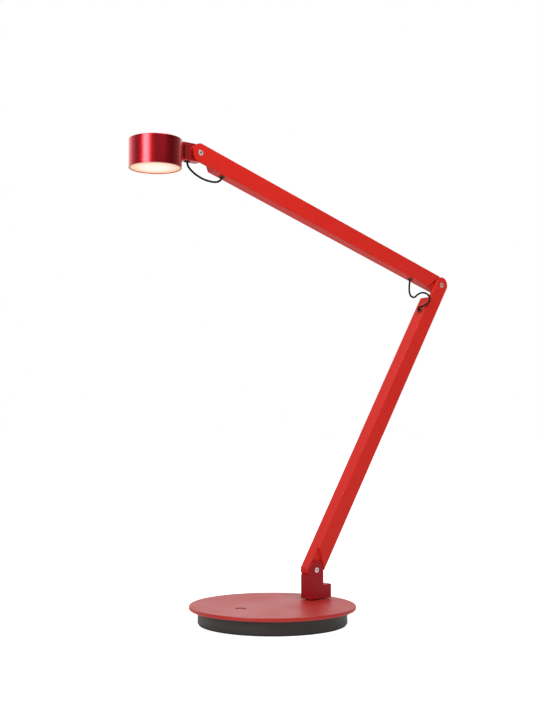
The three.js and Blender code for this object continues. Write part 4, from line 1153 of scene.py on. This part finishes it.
@dataclass
class Studio:
    """The camera, the pale floor and the soft lights.

    Attributes:
        camera_place: Where the camera stands.
        camera_aim: Which way it looks.
        lens: The camera's focal length in millimetres.
        sensor_width: The width of the camera's sensor in millimetres.
        view_depth: How far the camera sees.
        floor_width: The side of the floor.
        floor_gap: How far the floor lies under the pad, so that the two don't share a plane.
        lights: The lights. The first one draws the bright band on the drum.
        surround_shade: How bright the surround is on the camera's side.
        glossy_shade: How bright that side is in reflections.
        ahead_range: How far ahead a direction points where the surround starts and ends growing brighter.
        dark_side: The way to the side that is darker in reflections.
        dark_range: How far that way a direction points where the surround starts and ends growing darker.
        dark_strength: How much darker that side is.
    """

    camera_place: Point = (-1.0199, -1.2035, 0.2677)
    camera_aim: Point = (0.6437, 0.7629, 0.0601)
    lens: float = 56.63
    sensor_width: float = 36.0
    view_depth: float = 200.0
    floor_width: float = 60.0
    floor_gap: float = 0.05 * MM
    lights: tuple[SoftLight, ...] = (
        SoftLight("drum_strip", (-1.545, -0.386, 0.95), (-0.2, 0.0, 0.62), (0.62, 0.7), 12.5),
        SoftLight("ceiling", (-0.3, 0.2, 2.2), (0.1, 0.0, 0.3), (2.0, 2.0), 2.5),
        SoftLight("near_key", (-0.1, -1.0, 1.6), (0.1, 0.0, 0.55), (0.6, 0.6), 15.5),
    )
    surround_shade: float = 0.24
    glossy_shade: float = 0.2
    ahead_range: tuple[float, float] = (-0.1, 0.7)
    dark_side: Point = (0.764, -0.645, 0.0)
    dark_range: tuple[float, float] = (0.05, 0.75)
    dark_strength: float = 0.75

    def add_camera(self) -> None:
        """Adds the camera and makes it the scene's."""
        data = bpy.data.cameras.new("view")
        data.lens = self.lens
        data.sensor_width = self.sensor_width
        data.clip_end = self.view_depth
        camera = bpy.data.objects.new("view", data)
        camera.location = self.camera_place
        camera.rotation_euler = Vector(self.camera_aim).to_track_quat("-Z", "Y").to_euler()
        bpy.context.scene.collection.objects.link(camera)
        bpy.context.scene.camera = camera

    def add_floor(self) -> None:
        """Adds a plain, near-white floor."""
        mesh = bmesh.new()
        bmesh.ops.create_grid(mesh, x_segments=1, y_segments=1, size=self.floor_width / 2)
        finish = FloorFinish(
            "pale_floor", (0.75, 0.75, 0.75), roughness=0.8, specular=0.1, tone=0.01, wear=0.0,
            grain_scale=300.0, glow=0.8,
        )
        bmesh.ops.translate(mesh, vec=(0.0, 0.0, -self.floor_gap), verts=mesh.verts[:])
        floor = make_object(mesh, "floor", finish)
        floor.modifiers.clear()

    def add_surroundings(self) -> None:
        """Adds a white surround that lights the lamp less from the camera's side.

        The camera sees it white all round. Reflections see it darker still, most of all at the dark side.
        """
        world = bpy.data.worlds.new("studio")
        world.use_nodes = True
        graph = Graph(world.node_tree)
        way = graph.add("TexCoord").outputs["Generated"]
        ahead = graph.add("VectorMath", {"operation": "DOT_PRODUCT"}, i0=way, i1=self.camera_aim)
        path = graph.add("LightPath")
        glossy_drop = self.surround_shade - self.glossy_shade
        shade = graph.math("MULTIPLY", path.outputs["Is Glossy Ray"], glossy_drop)
        near = graph.math("SUBTRACT", self.surround_shade, shade)
        dimmed = graph.spread(ahead.outputs["Value"], self.ahead_range, near, 1.0)
        aside = graph.add("VectorMath", {"operation": "DOT_PRODUCT"}, i0=way, i1=self.dark_side)
        darkness = graph.spread(aside.outputs["Value"], self.dark_range, 0.0, self.dark_strength)
        kept = graph.math("SUBTRACT", 1.0, graph.math("MULTIPLY", darkness, path.outputs["Is Glossy Ray"]))
        strength = graph.math("MAXIMUM", graph.math("MULTIPLY", dimmed, kept), path.outputs["Is Camera Ray"])
        back = graph.add("Background", Color=WHITE, Strength=strength)
        out = graph.add("OutputWorld")
        graph.feed(out.inputs["Surface"], back.outputs[0])
        bpy.context.scene.world = world

    def build(self) -> None:
        """Builds the floor, the surroundings and the lights."""
        self.add_floor()
        self.add_surroundings()
        for light in self.lights:
            light.build()
        bpy.context.scene.view_settings.view_transform = "Standard"


# ---------------------------------------------------------------- the lamp

ELBOW_LOOP: tuple[Point, ...] = (
    (-0.0624, 0, 0.0079), (-0.0632, 0, 0.0042), (-0.0640, 0, 0.0002), (-0.0650, -0.0002, -0.0056),
    (-0.0656, -0.0005, -0.0108), (-0.0654, -0.0008, -0.0152), (-0.0644, -0.0011, -0.0191),
    (-0.0618, -0.0015, -0.0219), (-0.0583, -0.0020, -0.0230), (-0.0546, -0.0026, -0.0221),
    (-0.0512, -0.0034, -0.0193), (-0.0472, -0.0046, -0.0167), (-0.0424, -0.0062, -0.0150),
    (-0.0374, -0.0082, -0.0153), (-0.0336, -0.0103, -0.0177), (-0.0317, -0.0122, -0.0219),
    (-0.0329, -0.0135, -0.0263), (-0.0365, -0.0142, -0.0302), (-0.0407, -0.0138, -0.0333),
    (-0.0447, -0.0126, -0.0359), (-0.0474, -0.0097, -0.0373), (-0.0483, -0.0061, -0.0380),
    (-0.0473, -0.0029, -0.0387), (-0.0455, -0.0009, -0.0398), (-0.0429, 0, -0.0415), (-0.0410, 0, -0.0427),
)
HEAD_LOOP: tuple[Point, ...] = (
    (-0.0151, 0.0020, -0.0106), (-0.0151, 0.0020, -0.0136), (-0.0142, 0.0020, -0.0172),
    (-0.0119, 0.0018, -0.0206), (-0.0084, 0.0016, -0.0236), (-0.0038, 0.0014, -0.0266),
    (0.0018, 0.0011, -0.0294), (0.0084, 0.0008, -0.0318), (0.0156, 0.0005, -0.0334),
    (0.0228, 0.0003, -0.0341), (0.0296, 0.0001, -0.0339), (0.0354, 0, -0.0324), (0.0392, 0, -0.0298),
    (0.0408, 0, -0.0274), (0.0416, 0, -0.0247), (0.0421, 0, -0.0229),
)


def base_jumper() -> BentLead:
    """Describes the lead in the post, which bends with the lower arm.

    Returns:
        The lead, which runs upwards past the pivot.
    """
    low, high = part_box("base_jumper_lead")
    across = joint_centre("base_tilt").x
    middle = (low.y + high.y) / 2
    return BentLead(start=Vector((across, middle, low.z)), end=Vector((across, middle, high.z)))


def neck_lead() -> BentLead:
    """Describes the lead in the neck, which twists as the head rolls.

    Returns:
        The lead, which runs level from the neck to the head.
    """
    low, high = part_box("neck_lead")
    middle = (low + high) / 2
    return BentLead(
        node="neck_lead", bodies=("neck", "head"), start=Vector((high.x, middle.y, middle.z)),
        end=Vector((low.x, middle.y, middle.z)),
    )


def main() -> None:
    """Builds the studio and the whole lamp, the soft leads first."""
    logging.basicConfig(level=logging.INFO, format="%(message)s")
    studio = Studio()
    studio.add_camera()
    FreeLead(points=ELBOW_LOOP, bodies=("upper_arm", "lower_arm")).build()
    FreeLead(
        node="head_jumper_lead", joint="head_tilt", points=HEAD_LOOP, bodies=("neck", "upper_arm")
    ).build()
    studio.build()
    base_jumper().build()
    neck_lead().build()
    Base().build()
    Post().build()
    Arm().build()
    Arm(
        node="upper_arm", joint_name="head", grommets=("upper_arm_elbow_grommet", "upper_arm_head_grommet")
    ).build()
    Head().build()


if __name__ == "__main__":
    main()
